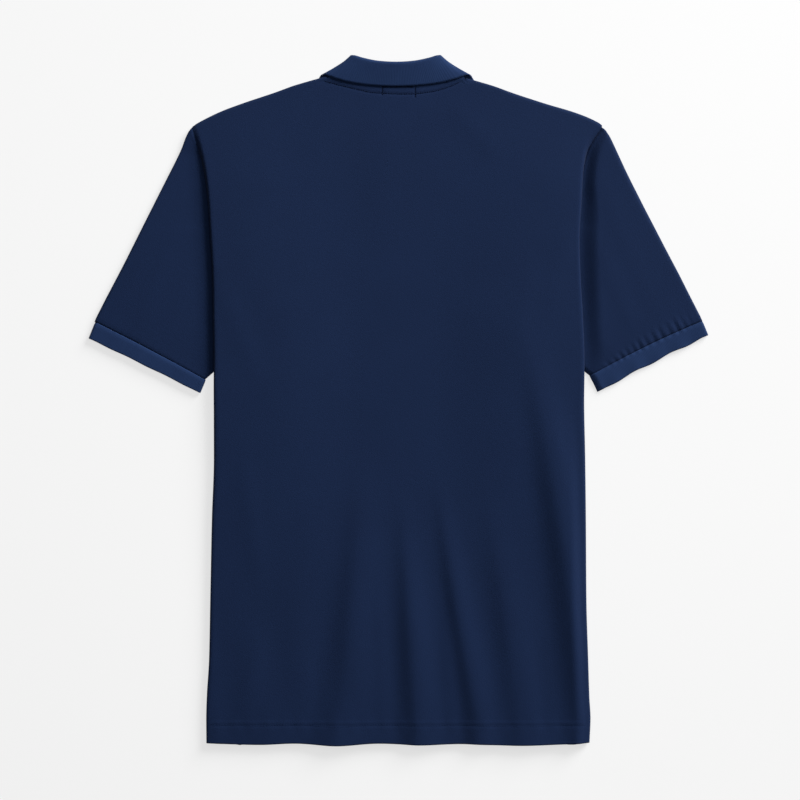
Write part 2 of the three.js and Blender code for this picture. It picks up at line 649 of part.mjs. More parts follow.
function toManifold(geometry) {
  const bare = new THREE.BufferGeometry();
  bare.setAttribute("position", geometry.attributes.position.clone());
  if (geometry.index) bare.setIndex(geometry.index.clone());
  const merged = mergeVertices(bare, 1e-4);
  const mesh = new kernel.Mesh({
    numProp: 3,
    vertProperties: Float32Array.from(merged.attributes.position.array),
    triVerts: Uint32Array.from(merged.index.array),
  });
  mesh.merge();
  return new kernel.Manifold(mesh);
}

function toGeometry(solid) {
  const mesh = solid.getMesh();
  const geometry = new THREE.BufferGeometry();
  geometry.setAttribute("position", new THREE.Float32BufferAttribute(mesh.vertProperties, 3));
  geometry.setIndex(Array.from(mesh.triVerts));
  return geometry;
}

function cut(geometry, cutters) {
  return toGeometry(cutters.reduce((solid, tool) => solid.subtract(toManifold(tool)), toManifold(geometry)));
}

// A prism over an outline in the table's plane, between two heights.
function prism(outline, low, high) {
  const shape = new THREE.Shape(outline.map(([x, y]) => new THREE.Vector2(x, y)));
  const geometry = new THREE.ExtrudeGeometry(shape, { depth: high - low, bevelEnabled: false });
  geometry.translate(0, 0, low);
  return geometry;
}

function box(width, x, y0, y1, z0, z1) {
  const geometry = new THREE.BoxGeometry(width, y1 - y0, z1 - z0);
  geometry.translate(x, (y0 + y1) / 2, (z0 + z1) / 2);
  return geometry;
}

// The neck opening of the back: over its neckline, and all that was rolled over between the
// shoulders.
function backNeck() {
  const line = range(17).map((k) => {
    const u = k / 8 - 1;
    return [NECK_CENTRE + u * NECK_X, lerp(NECK_BACK_Y, NECK_SIDE_Y, Math.abs(u) ** 2.2)];
  });
  const over = [...line, [NECK_CENTRE + NECK_X, 380], [NECK_CENTRE - NECK_X, 380]];
  return [prism(over, -5, 30), box(2 * NECK_X, NECK_CENTRE, 320, 380, -5, LOFT - 1)];
}

// The neck opening of the front, and the slit for the placket.
function frontNeck() {
  const line = range(21).map((k) => {
    const angle = Math.PI + (k * Math.PI) / 20;
    const depth = NECK_TURN_Y - NECK_FRONT_Y;
    return [NECK_CENTRE + NECK_X * Math.cos(angle), NECK_TURN_Y + depth * Math.sin(angle)];
  });
  const over = [[NECK_CENTRE - NECK_X, 380], ...line, [NECK_CENTRE + NECK_X, 380]];
  const slit = box(PLACKET_WIDTH, NECK_CENTRE, NECK_FRONT_Y - PLACKET_LENGTH, NECK_FRONT_Y + 30, -5, 30);
  return [prism(over, -5, 30), slit];
}

function button(index) {
  const r = BUTTON_RADIUS;
  const h = BUTTON_HEIGHT;
  const profile = [
    [0, 0.75], [2.9, 0.75], [3.5, 0.1], [r - 0.4, 0.1], [r, 0.6], [r, h - 0.5], [r - 0.7, h], [0, h],
  ].map(([x, y]) => new THREE.Vector2(x, y));
  const geometry = new THREE.LatheGeometry(profile, 16);
  geometry.rotateX(Math.PI / 2);
  const holes = range(4).map((k) => {
    const hole = new THREE.CylinderGeometry(BUTTON_HOLE, BUTTON_HOLE, 3 * h, 6);
    hole.rotateX(Math.PI / 2);
    hole.translate(k < 2 ? -1.4 : 1.4, k % 2 ? -1.4 : 1.4, h);
    return hole;
  });
  const drilled = cut(geometry, holes);
  drilled.translate(NECK_CENTRE, NECK_FRONT_Y - 14 - index * BUTTON_SPACING, 0);
  return drilled;
}

const part = new THREE.Group();
part.name = "polo_shirt";

function add(name, geometry, colour) {
  const material = new THREE.MeshStandardMaterial({ color: colour, roughness: 0.9, metalness: 0 });
  const mesh = new THREE.Mesh(geometry, material);
  mesh.name = name;
  part.add(mesh);
}

add("back", cut(wall(backGrid(), CLOTH), backNeck()), COLOURS.body);
add("front", cut(wall(frontGrid(), CLOTH), frontNeck()), COLOURS.body);
for (const side of ["left", "right"]) {
  const sleeve = SLEEVE_STEPS.map((along) => sleeveRing(side, along));
  add(`sleeve_${side}`, wall(sleeve, CLOTH, true), COLOURS.body);
  const cuff = CUFF_STEPS.map((along) => cuffRing(side, along));
  add(`cuff_${side}`, wall(cuff, RIB, true), COLOURS.rib);
}
add("collar", wall(collarGrid(), RIB), COLOURS.rib);

const placketLow = NECK_FRONT_Y - PLACKET_LENGTH + SEAM;
const placketZ = TABLE + COLLAR_LIFT;
const upperStrip = box(
  PLACKET_WIDTH - 2 * SEAM, NECK_CENTRE, placketLow, NECK_FRONT_Y - 0.6, placketZ - TABLE, placketZ + TABLE,
);
add("placket_upper", upperStrip, COLOURS.body);
const underLow = placketZ + TABLE + SEAM;
const underStrip = box(
  UNDER_STRIP_WIDTH, NECK_CENTRE, placketLow - 8, NECK_FRONT_Y - 0.6, underLow, underLow + UNDER_STRIP_WALL,
);
add("placket_under", underStrip, COLOURS.body);
for (const index of range(BUTTON_COUNT)) {
  add(`button_${index + 1}`, button(index), COLOURS.button);
}

export default part;
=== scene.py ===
"""A navy polo shirt laid flat on its front, seen from straight above.

The cloth is built again here from the same sizes as the CAD part, with finer folds, stitches and
knit. Sizes in this file are millimetres until a mesh is made; Blender works in metres.
"""
import math
from functools import lru_cache

import bpy
from mathutils import Matrix, Vector
from mathutils.bvhtree import BVHTree


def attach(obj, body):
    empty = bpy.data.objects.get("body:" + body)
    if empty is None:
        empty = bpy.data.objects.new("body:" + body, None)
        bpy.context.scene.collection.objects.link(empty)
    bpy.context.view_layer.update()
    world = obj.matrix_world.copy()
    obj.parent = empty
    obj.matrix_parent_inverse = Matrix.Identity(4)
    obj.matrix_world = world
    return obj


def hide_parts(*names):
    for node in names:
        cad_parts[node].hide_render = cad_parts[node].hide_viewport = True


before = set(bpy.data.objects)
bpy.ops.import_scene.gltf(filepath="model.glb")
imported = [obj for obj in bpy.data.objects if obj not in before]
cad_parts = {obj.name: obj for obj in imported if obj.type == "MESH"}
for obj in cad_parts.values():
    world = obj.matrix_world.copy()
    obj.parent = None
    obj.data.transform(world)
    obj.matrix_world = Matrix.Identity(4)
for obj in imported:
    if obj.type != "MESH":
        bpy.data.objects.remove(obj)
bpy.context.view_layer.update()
MM = 0.001

# Walls of the cloth and the rib, the gap at a seam, the spacing of two layers, and the lowest
# height of the middle of a wall.
CLOTH = 1.5
RIB = 1.6
SEAM = 0.12
LAYERS = 1.95
TABLE = CLOTH / 2

# Body. Where it covers a sleeve it lies SLEEVE_STACK higher. Its sides are folded flat up to
# FOLDED_TO_Y. From FRONT_RAMP_Y up, over RAMP_RUN, the front slopes down to the sleeve instead.
# A pressed fold keeps the share SQUEEZE of a round fold's width.
HEM_Y = -375.6
HEM_DEPTH = 24.0
HEM_STITCH = 20.8
HEM_FURROW = 0.32
HEM_END = HEM_Y + HEM_DEPTH
TIP_X = 223.0
TIP_Y = 299.5
LOFT = 6.6
SHOULDER_STRIP = 12.0
SHOULDER_CENTRE = -5.6
ARMPIT_X = 149.0
ARMPIT_Y = 76.0
ARMHOLE_GAP = 1.1
SLEEVE_STACK = 3.9
STACK_START = 36.0
STACK_RUN = 24.0
FOLDED_TO_Y = 185.0
FRONT_INSET = 3.0
FRONT_RAMP_Y = 220.0
RAMP_RUN = 22.0
SQUEEZE = 0.55

# Neck and placket
NECK_CENTRE = -2.3
NECK_X = 75.0
NECK_BACK_Y = 348.0
NECK_SIDE_Y = 353.5
NECK_TURN_Y = 343.0
NECK_FRONT_Y = 267.0
COLLAR_LIFT = 2.3
COLLAR_MIDDLE_Y = 330.0
COLLAR_REACH = (108.0, 116.0)
PLACKET_WIDTH = 30.0
PLACKET_LENGTH = 134.0
PLACKET_LOW = NECK_FRONT_Y - PLACKET_LENGTH
PLACKET_GAP = 0.35
UNDER_STRIP_WIDTH = 34.0
UNDER_STRIP_WALL = 1.0
BUTTON_FIRST = 14.0
BUTTON_SPACING = 50.0
BUTTON_COUNT = 3
BUTTON_HOLE = 0.9

# A button from the middle of its face round to the middle of its back: radius and height.
BUTTON_PROFILE = (
    (0.7, 0.8),
    (2.6, 0.8),
    (3.1, 0.55),
    (3.5, 0.18),
    (4.1, 0.05),
    (4.7, 0.12),
    (5.25, 0.45),
    (5.5, 0.9),
    (5.5, 1.35),
    (5.25, 1.8),
    (4.8, 2.0),
    (0.7, 2.0),
)

# Visible edge of the back panel on each side: height, left and right.
SIDE_EDGE = (
    (-375.6, 209.2, 209.1),
    (-348.8, 209.4, 210.2),
    (-327.0, 208.8, 209.0),
    (-283.0, 206.2, 207.6),
    (-218.0, 204.9, 205.7),
    (-131.0, 203.1, 205.1),
    (-65.0, 200.9, 204.3),
    (0.0, 201.0, 203.1),
    (44.0, 200.8, 203.4),
    (87.0, 201.4, 201.8),
    (131.0, 202.0, 199.3),
    (174.0, 204.2, 198.0),
    (218.0, 207.4, 200.6),
    (240.0, 210.0, 201.7),
    (262.0, 214.3, 204.4),
    (273.0, 217.2, 207.1),
    (283.0, 220.0, 212.0),
    (291.0, 222.4, 217.5),
    (299.5, 224.6, 224.0),
)

# How each side is turned under: height, width of the turned strip, share of a half turn, radius of
# the fold (above the strip's end it is set here, below it follows), and height of the fold's top.
SIDE_FOLD = (
    (-375.6, 57, 1.0, 3.5, 7.75),
    (-200, 57, 1.0, 3.5, 8.3),
    (-120, 57, 1.0, 3.5, 9.4),
    (-60, 57, 1.0, 3.5, 10.4),
    (-14, 57, 1.0, 3.5, 11.1),
    (18, 57, 1.0, 3.5, 11.45),
    (60, 57, 1.0, 3.5, 11.65),
    (76, 53, 1.0, 3.5, 11.65),
    (95, 42, 1.0, 3.5, 11.65),
    (120, 29, 1.0, 3.5, 11.6),
    (150, 17, 1.0, 3.5, 11.5),
    (185, 8, 1.0, 3.3, 11.25),
    (200, 5, 0.82, 3.1, 11.15),
    (215, 4, 0.68, 3.0, 11.0),
    (230, 4, 0.6, 2.9, 10.65),
    (245, 4, 0.53, 2.8, 10.0),
    (262, 4, 0.44, 2.8, 9.1),
    (280, 4, 0.24, 2.7, 8.0),
    (299.5, 4, 0.04, 2.6, 6.9),
)

# Shoulder line from the neck to the tip: distance from the shoulders' centre, and height.
SHOULDER_LINE = (
    (0, 354.5),
    (72, 353.4),
    (80, 351.2),
    (91.5, 348.0),
    (108.6, 342.9),
    (127.3, 336.2),
    (147, 329.6),
    (168, 322.8),
    (188, 316.2),
    (204, 309.7),
    (217, 303.2),
    (223, 299.5),
)

# The wavy edge of the hem, from left to right: how far it dips under its mean line.
HEM_LINE = (
    (-207.0, -1.3),
    (-151.5, 0.3),
    (-113.4, -1.1),
    (-67.6, 1.3),
    (-21.8, -1.0),
    (24.0, 0.5),
    (69.8, -0.5),
    (130.8, 1.0),
    (191.8, -0.8),
    (208.0, -1.9),
)

# Large folds of the back, as in the part: top end, low end, bow, height and width.
BACK_FOLDS = (
    ((-92, 10), (-112, -376), 2, 0.8, 24),
    ((-36, -50), (-64, -376), 3, 4.6, 21),
    ((3, -85), (22, -376), 1, 4.4, 15),
    ((40, -62), (88, -352), -2, 3.4, 12),
    ((96, -85), (137, -376), 2, 2.9, 18),
    ((135, 110), (211, -352), 4, 7.2, 22),
)

# Small creases of the back: one end, other end, height and width.
BACK_CREASES = (
    ((-190, 120), (-150, 20), 0.6, 14),
    ((186, 190), (160, 90), 0.6, 13),
    ((150, 150), (120, 40), 0.5, 16),
    ((-60, 322), (-100, 262), 0.4, 14),
    ((58, 322), (108, 268), 0.45, 15),
    ((-8, 300), (-20, 190), 0.3, 20),
    ((-168, -60), (-150, -210), 0.6, 12),
    ((170, -10), (186, -120), 0.5, 9),
    ((-20, -210), (-14, -360), 0.6, 9),
    ((52, -250), (60, -366), 0.7, 8),
    ((-150, -250), (-172, -370), 0.8, 13),
    ((150, -262), (160, -368), -0.6, 10),
    ((-86, -270), (-92, -370), -0.5, 10),
)

# Each cuff: outer and inner ends of its seam and of its free edge, how far the middle of both bows
# up, the waves of its edge, the ripple of its surface and its gathers, and its fall to the edge.
# Each sleeve: its loft, the droop of that towards the outer side, the valley beside the body's
# edge (near width, its share, far width), how far the outer side lies outside a straight line by
# the share of the way to the cuff, and how far the lower layer slips out on the inner side.
SLEEVES = {
    "left": {
        "sign": -1,
        "seam": ((330.8, 85.6), (210.4, 22.2)),
        "edge": ((338.4, 67.6), (216.2, 7.6)),
        "bow": 0.8,
        "wave": 0.3,
        "ripple": 0.12,
        "fall": 0.7,
        "loft": 7.2,
        "valley": (14.0, 0.12, 90.0),
        "droop": 1.9,
        "outer": (
            (0, 2.0),
            (0.045, 1.3),
            (0.104, 0.2),
            (0.2, -0.2),
            (0.66, -0.2),
            (0.78, 0.3),
            (0.9, 1.0),
            (1, 1.2),
        ),
        "slip": 0.0,
    },
    "right": {
        "sign": 1,
        "seam": ((332.6, 86.4), (213.2, 28.6)),
        "edge": ((339.8, 71.2), (222.0, 10.8)),
        "bow": 2.2,
        "wave": 0.9,
        "ripple": 0.7,
        "fall": 2.0,
        "loft": 9.4,
        "valley": (20.0, 0.96, 80.0),
        "droop": 0.0,
        "outer": (
            (0, 4.4),
            (0.02, 2.4),
            (0.045, 1.1),
            (0.104, 0.4),
            (0.165, -0.4),
            (0.226, -1.1),
            (0.288, -1.5),
            (0.41, -1.8),
            (0.535, -1.4),
            (0.66, -0.7),
            (0.78, 0.1),
            (1, 0.3),
        ),
        "slip": 5.5,
    },
}
CUFF_LOFT = 5.6
CUFF_LOW = RIB / 2

# Stations of a sleeve ring at the armhole, from the shoulder tip to the armpit.
RING_STATIONS = (295.7, 284, 272, 258, 245, 230, 215, 200, 185, 152, 122, 100, 86, 77)

# Length and flat width of a sleeve, for its creases
SLEEVE_RUN = 200
SLEEVE_WIDTH = 140

# Soft folds of the sleeves, in shares of the way to the cuff and across it: one end, other end,
# height and width in millimetres.
SLEEVE_CREASES = {
    "left": (
        ((0.1, 0.25), (0.9, 0.35), 0.35, 13),
        ((0.15, 0.6), (0.8, 0.62), 0.35, 14),
        ((0.35, 0.12), (0.95, 0.15), 0.2, 9),
    ),
    "right": (
        ((0.08, 0.2), (0.85, 0.3), 0.25, 14),
        ((0.2, 0.5), (0.9, 0.55), 0.35, 13),
        ((0.5, 0.75), (0.98, 0.78), 0.35, 9),
    ),
}

# Collar from the centre of the back to the front end: seam, fold, free edge and fold radius.
COLLAR = (
    ((0, 349.1, 7.2), (0, 367.4, 12.2), (0, 342.0, 8.55), 1.9),
    ((22, 349.8, 7.2), (20, 368.6, 12.1), (24, 342.9, 8.55), 1.9),
    ((43, 352.0, 7.1), (36, 371.9, 11.6), (47, 345.6, 8.55), 1.9),
    ((61, 354.9, 6.9), (44.9, 374.6, 10.4), (64.9, 350.0, 8.8), 1.8),
    ((70, 356, 5.6), (47.4, 372.9, 8.4), (78.2, 354.6, 7.4), 1.7),
    ((73, 348.5, 3.8), (47.6, 365, 5.2), (84.2, 351.0, 1.8), 1.5),
    ((73.4, 333.8, 3.2), (46, 352, 2.4), (90, 339, 0.8), 1.2),
    ((65.6, 307.6, 3.05), (40, 327, 1.95), (87.5, 309, 0.8), 1.15),
    ((47.8, 285.3, 3.05), (30, 306, 1.95), (78, 278, 0.8), 1.15),
    ((27.8, 273.2, 3.05), (18, 292, 1.95), (63, 255, 0.8), 1.15),
    ((12.3, 268.7, 3.05), (7, 285, 1.95), (49, 238, 0.8), 1.15),
)

# Stitch lines on the back, as places on the cloth; the slit rows paint the slit's shadow.
TAPE_STITCH = (
    (-79.6, 347.7),
    (-68.7, 344.7),
    (-55.0, 341.3),
    (-41.4, 338.1),
    (-27.8, 335.4),
    (-14.2, 334.5),
    (-0.5, 333.8),
    (13.1, 333.8),
    (29.4, 335.2),
    (43.1, 337.6),
    (56.7, 341.9),
    (68.7, 347.4),
)
BAR_TACKS = (((-16.9, 342.0), (-16.9, 332.5)), ((19.1, 342.0), (19.1, 330.0)))
SLIT_SHADOW_ENDS = (-16.6, 18.8)
SLIT_SHADOW_ROWS = (341.5, 341.0)

# Stitches of the hem, from end to end: on the back, on the front and on each turned strip.
BACK_HEM = (-204, 203)
FRONT_HEM = (-148, 148)
TURNED_HEMS = ((-204, -156), (156, 203))

# Stitches: their length, then half the thread's thickness and the gap between two.
STITCH = 2.3
FINE_THREAD = (0.24, 0.7)
TAPE_THREAD = (0.5, 0.2)
TACK_THREAD = (0.42, 0.1)

# How finely the panels are divided: steps across and up the hem, the turns and their strips, the
# rows above the hem (low end, high end and step), the number of rows from there to the neck, and
# extra columns of the back beside the bar tacks.
BACK_STEP, BACK_HEM_STEP = 3.0, 1.3
FRONT_STEP, FRONT_HEM_STEP = 5.0, 2.0
TURN_STEPS = 8
BACK_ROWS = ((HEM_END + 8, 180, 4.4), (183, 272, 2.6))
FRONT_ROWS = ((HEM_END + 8, 250, 5.0),)
BACK_NECK_ROWS = 22
FRONT_NECK_ROWS = 8
TACK_REACH = 203.0
TACK_COLUMNS = (-19.4, -18.6, -17.8, -16.9, -16.0, -15.2, 17.4, 18.2, 19.1, 20.0, 20.8)

# Camera, in the photograph's frame
FRAME_WIDTH = 872.0
CAMERA_X = 2.2
LENS = 100.0
SENSOR = 36.0
MEAN_HEIGHT = 8.0

# Floor and light, in metres and watts. The floor's own glow keeps the shadows on it pale. Each
# light has a name, a place, a power and a size.
FLOOR_SIZE = 12.0
FLOOR_DROP = 0.0002
FLOOR_ALBEDO = 0.27
FLOOR_GLOW = 0.68
SURROUND = 0.07
LIGHTS = (
    ("key", (3.3, 3.43, 2.28), 480, 2.75),
    ("overhead", (0.0, 0.3, 1.4), 4.2, 0.9),
)


def clamp(value, low, high):
    return min(high, max(low, value))


def lerp(a, b, t):
    return a + (b - a) * t


def smooth(t):
    c = clamp(t, 0.0, 1.0)
    return c * c * (3 - 2 * c)


def curve(rows, column):
    """A smooth curve through one column of a table, over its first column."""
    xs = [row[0] for row in rows]
    ys = [row[column] for row in rows]
    slopes = [(ys[i + 1] - ys[i]) / (xs[i + 1] - xs[i]) for i in range(len(xs) - 1)]
    tangents = [slopes[0]]
    for before, after in zip(slopes, slopes[1:]):
        tangents.append(0 if before * after <= 0 else 2 * before * after / (before + after))
    tangents.append(slopes[-1])

    def at(x):
        if x <= xs[0]:
            return ys[0]
        if x >= xs[-1]:
            return ys[-1]
        i = next(k for k in range(len(xs) - 1) if x < xs[k + 1])
        span = xs[i + 1] - xs[i]
        t = (x - xs[i]) / span
        t2 = t * t
        t3 = t2 * t
        return (
            (2 * t3 - 3 * t2 + 1) * ys[i]
            + (t3 - 2 * t2 + t) * span * tangents[i]
            + (3 * t2 - 2 * t3) * ys[i + 1]
            + (t3 - t2) * span * tangents[i + 1]
        )

    return at


EDGE_X = {"left": curve(SIDE_EDGE, 1), "right": curve(SIDE_EDGE, 2)}
tuck_width = curve(SIDE_FOLD, 1)
turn_share = curve(SIDE_FOLD, 2)
fold_radius = curve(SIDE_FOLD, 3)
fold_top = curve(SIDE_FOLD, 4)
shoulder_y = curve(SHOULDER_LINE, 1)
hem_dip = curve(HEM_LINE, 1)
tape_y = curve(TAPE_STITCH, 1)


def side_of(x):
    return "left" if x < 0 else "right"


def hem_y(x):
    return HEM_Y - hem_dip(x)


def bend(arc, angle, share, strip, squeeze=1.0):
    """How far a bent strip of cloth has reached sideways, and how far it has dropped."""
    turn = max(angle, 0.001)
    radius = arc / turn
    turned = turn * share
    reach = radius * math.sin(turned) * squeeze + strip * math.cos(turned)
    drop = radius * (1 - math.cos(turned)) + strip * math.sin(turned)
    return reach, drop


def bend_reach(arc, angle):
    """How far sideways a pressed fold reaches at most."""
    turn = max(angle, 0.001)
    return arc / turn * math.sin(min(turn, math.pi / 2)) * SQUEEZE


def sleeve_lift(x, y):
    """How much higher the body lies where it covers a sleeve."""
    inner = SLEEVES[side_of(x)]["seam"][1]
    dx = inner[0] - ARMPIT_X
    dy = inner[1] - ARMPIT_Y
    above = ((y - ARMPIT_Y) * dx - (abs(x) - ARMPIT_X) * dy) / math.hypot(dx, dy)
    return SLEEVE_STACK * smooth((above + STACK_START) / STACK_RUN)


def front_lift(x, y):
    """How much the front is lifted by the collar's points and the placket under it."""
    wide, high = COLLAR_REACH
    points = math.hypot((x - NECK_CENTRE) / wide, (y - COLLAR_MIDDLE_Y) / high)
    beside = max(abs(x - NECK_CENTRE) - PLACKET_WIDTH / 2, 0)
    below = max(PLACKET_LOW - y, 0)
    collar = 1 - smooth((points - 1) / 0.24)
    placket = 1 - smooth((math.hypot(beside, below) - 4) / 16)
    return COLLAR_LIFT * max(collar, placket)


def fold_height(x, y):
    """The large folds of the back. Each is steeper on its left, and wider towards the hem."""
    total = 0.0
    for top, low, bow, height, width in BACK_FOLDS:
        t = (y - top[1]) / (low[1] - top[1])
        if t <= 0:
            continue
        along = clamp(t, 0, 1)
        crest = lerp(top[0], low[0], along) + bow * 4 * along * (1 - along)
        spread = width * lerp(0.75, 1.25, along) * (0.8 if x < crest else 1.2)
        total += height * smooth(t * 1.6) * math.exp(-(((x - crest) / spread) ** 2))
    return total


def crease_height(creases, x, y):
    """The small creases given in a table. Each rises and dies away along its length."""
    total = 0.0
    for start, end, height, width in creases:
        dx = end[0] - start[0]
        dy = end[1] - start[1]
        length = math.hypot(dx, dy)
        along = ((x - start[0]) * dx + (y - start[1]) * dy) / (length * length)
        if along < -0.2 or along > 1.2:
            continue
        off = abs((x - start[0]) * dy - (y - start[1]) * dx) / length
        if off > 3 * width:
            continue
        swell = smooth((along + 0.2) / 0.5) * smooth((1.2 - along) / 0.5)
        total += height * swell * math.exp(-((off / width) ** 2))
    return total


@lru_cache(maxsize=None)
def side_fold(side, y):
    """How a side is turned under at a height: its fold, and where its strip starts and ends."""
    sign = -1 if side == "left" else 1
    edge = EDGE_X[side](y)
    top = fold_top(y)
    foot = TABLE + sleeve_lift(sign * (edge - 2), y)
    radius = (top - foot) / 2 if y < FOLDED_TO_Y else fold_radius(y)
    angle = math.pi * turn_share(y)
    arc = math.pi * radius
    start = edge - CLOTH / 2 - bend_reach(arc, angle)
    strip = max(1.0, tuck_width(y) - radius - CLOTH / 2)
    reach, drop = bend(arc, angle, 1, strip, SQUEEZE)
    return {
        "radius": radius,
        "angle": angle,
        "edge": edge,
        "start": start,
        "strip": strip,
        "foot": top - drop,
        "end_x": start + reach,
        "top": top,
    }


def armhole_share(y):
    """0 below the armpit, 1 where the front is sewn to the sleeve."""
    return smooth((y - ARMPIT_Y - 3) / 12)


@lru_cache(maxsize=None)
def armhole_low(side, y):
    """Where the front's side ends: across and in height, then where the sleeve's cloth starts."""
    fold = side_fold(side, y)
    under = smooth((270 - y) / 55)
    end = lerp(fold["end_x"] - 3.2, min(fold["end_x"] - ARMHOLE_GAP, fold["start"] + 1.2), under)
    x = fold["end_x"] - ARMHOLE_GAP if turn_share(y) > 0.99 else end
    z = lerp(TABLE, CLOTH + 0.6, smooth(under / 0.5))
    outward = x + 0.45 - 1.2 * smooth((under - 0.5) / 0.5)
    return x, z, lerp(fold["end_x"], outward, armhole_share(y))


@lru_cache(maxsize=None)
def armhole_top(side, y):
    """Where the sleeve's upper layer starts, across and in height."""
    fold = side_fold(side, y)
    lean = min(fold["angle"], math.pi / 2)
    off = SEAM + CLOTH * turn_share(y)
    z = fold["foot"] - off * math.sin(lean)
    return fold["end_x"] + (off + 0.1) * math.cos(lean), max(z, CLOTH + TABLE + 0.3)


def front_top_height(fold, y):
    """Height of the front's fold, which comes down to the table at the shoulder."""
    return lerp(fold["top"] - LAYERS, TABLE, smooth((y - 228) / 46))


def hem_relief(y):
    """The hem is two layers thick, with a furrow where its stitches pull the cloth down."""
    up = y - HEM_Y
    furrow = math.exp(-(((up - HEM_STITCH) / 1.6) ** 2))
    return 0.25 * (1 - smooth((up - HEM_DEPTH) / 3)) - HEM_FURROW * furrow


def back_relief(x, y):
    """Small relief of the back: creases, hem, neck tape, bar tacks and the pull of the stitches."""
    tape = 0.0
    if y > 322 and abs(x) < 84:
        under = y - tape_y(x)
        tape = 0.3 * smooth(under / 2.4 + 0.5) - 0.6 * math.exp(-((under / 1.2) ** 2))
        for (tack_x, top), (_, low) in BAR_TACKS:
            if low - 1 < y < top + 1:
                tape -= 0.35 * math.exp(-(((x - tack_x) / 0.9) ** 2))
    pull = 0.18 * math.sin(x / 2.9) * math.exp(-(((y - HEM_Y - HEM_STITCH) / 7) ** 2))
    wave = 0.3 * math.sin(x / 9.7 + y / 41) * smooth((-y - 120) / 220)
    return crease_height(BACK_CREASES, x, y) + hem_relief(y) + tape + pull + wave


def main_height(panel, x, y, fold):
    """Height of a panel between its side folds."""
    off = abs(x)
    inner = min(fold["start"], fold["end_x"])
    if panel == "front":
        flat = TABLE + front_lift(x, y)
        high = front_top_height(fold, y)
        return max(flat, lerp(flat, high, smooth((off - inner + 36) / 28)))
    rise = smooth((off - 40) / (inner - 50))
    fade = 1 - smooth((off - fold["start"] + 14) / 14)
    edge_fade = 1 - smooth((off - fold["start"] + 8) / 8)
    plain = lerp(LOFT, fold["top"], rise) + fold_height(x, y) * fade
    return plain + back_relief(x, y) * edge_fade


def spaced(start, end, step):
    """Evenly spaced values from start to end, as near to a step apart as fits."""
    count = max(1, round(abs(end - start) / step))
    return [lerp(start, end, k / count) for k in range(count + 1)]


def body_columns(panel, step):
    """Columns of a panel: sign, share of the main part, of the turn, of the strip, of the drop."""
    places = [x for x in spaced(-TIP_X, TIP_X, step) if -TIP_X < x < TIP_X]
    if panel == "back":
        tacks = [x * TIP_X / TACK_REACH for x in TACK_COLUMNS]
        places = [x for x in places if min(abs(x - t) for t in tacks) > 1.2] + tacks
    shares = [(k + 1) / TURN_STEPS for k in range(TURN_STEPS)]
    ends = [(1, 0, 0, 0)]
    ends += [(1, share, 0, 0) for share in shares]
    ends += [(1, 1, share, 0) for share in shares]
    if panel == "front":
        ends.append((1, 1, 1, 1))
    left = [(-1, *column) for column in reversed(ends)]
    main = [(-1 if x < 0 else 1, abs(x) / TIP_X, 0, 0, 0) for x in sorted(places)]
    return left + main + [(1, *column) for column in ends]


def panel_rows(hem_step, stretches, neck_rows, top):
    """Heights of a panel's rows at one column: the hem, stretches above it, and up to the neck."""
    rows = spaced(HEM_Y, HEM_END + 4, hem_step)
    for low, high, step in stretches:
        rows += spaced(low, high, step)
    return rows + [lerp(high, top, (k + 1) / neck_rows) for k in range(neck_rows)]


def front_ramp(side, edge_y, fold, passed, folded):
    """Near the shoulder the front is no longer folded: it only slopes down to the sleeve's seam."""
    low_x, low_z, _ = armhole_low(side, edge_y)
    inner_x = fold["start"] - FRONT_INSET
    inner_z = main_height("front", inner_x, edge_y, fold)
    share = smooth((edge_y - FRONT_RAMP_Y) / RAMP_RUN)
    x = lerp(folded[0], lerp(inner_x, low_x, passed), share)
    return x, lerp(folded[1], lerp(inner_z, low_z, passed), share)


def body_point(panel, column, edge_y, top_edge, top_y):
    """A point of a panel's column, at a height measured along the panel's outer edge."""
    sign, share, turn, strip, drop = column
    side = "left" if sign < 0 else "right"
    fold = side_fold(side, edge_y)
    front = panel == "front"
    radius = max(fold["radius"] - LAYERS, 0.8) if front else fold["radius"]
    inset = lerp(ARMHOLE_GAP, FRONT_INSET, smooth((edge_y - 186) / 14)) if front else 0
    joint = ARMHOLE_GAP * armhole_share(edge_y) if front else 0
    run = (fold["strip"] + joint) * strip
    reach, fall = bend(math.pi * radius, fold["angle"], turn, run, SQUEEZE)
    x = share * (fold["start"] - inset) + reach
    up = (edge_y - HEM_Y) / (top_edge - HEM_Y)
    y = lerp(hem_y(x * sign * (1 - strip)), top_y, up)
    z = (front_top_height(fold, edge_y) if front else fold["top"]) - fall
    if turn == 0:
        z = main_height(panel, sign * x, y, fold)
    if strip > 0 and edge_y <= FOLDED_TO_Y:
        z = TABLE + (LAYERS if front else 0) + sleeve_lift(sign * x, edge_y)
    if drop > 0:
        low_x, low_z, _ = armhole_low(side, edge_y)
        formed = armhole_share(edge_y)
        x = lerp(x - 0.8, low_x, formed)
        z = lerp(z, low_z, formed)
    if front and turn > 0 and edge_y > FRONT_RAMP_Y:
        x, z = front_ramp(side, edge_y, fold, (turn + strip + drop) / 3, (x, z))
    return sign * x, y, max(z, TABLE)


def shoulder_roll(column):
    """Where the back's cloth starts to go over the shoulder, its radius, and the column's x."""
    sign, share, turn, strip = column[:4]
    fold = side_fold("left" if sign < 0 else "right", TIP_Y - 4)
    arc = math.pi * fold["radius"]
    reach = bend(arc, fold["angle"], turn, fold["strip"] * strip, SQUEEZE)[0]
    x = sign * (share * fold["start"] + reach)
    shift = SHOULDER_CENTRE * smooth((216 - abs(x)) / 60)
    line = shoulder_y(abs(x - shift))
    low = TABLE + front_lift(x, line - 8)
    height = main_height("back", x, line, fold) - (0.3 if turn > 0 else 0)
    radius = (height - low) / 2
    return line - CLOTH / 2 - radius, radius, x


def edge_top(column):
    """Height of the shoulder's start at the outermost column of a column's own side."""
    return shoulder_roll((column[0], 1, 1, 1, 0))[0]


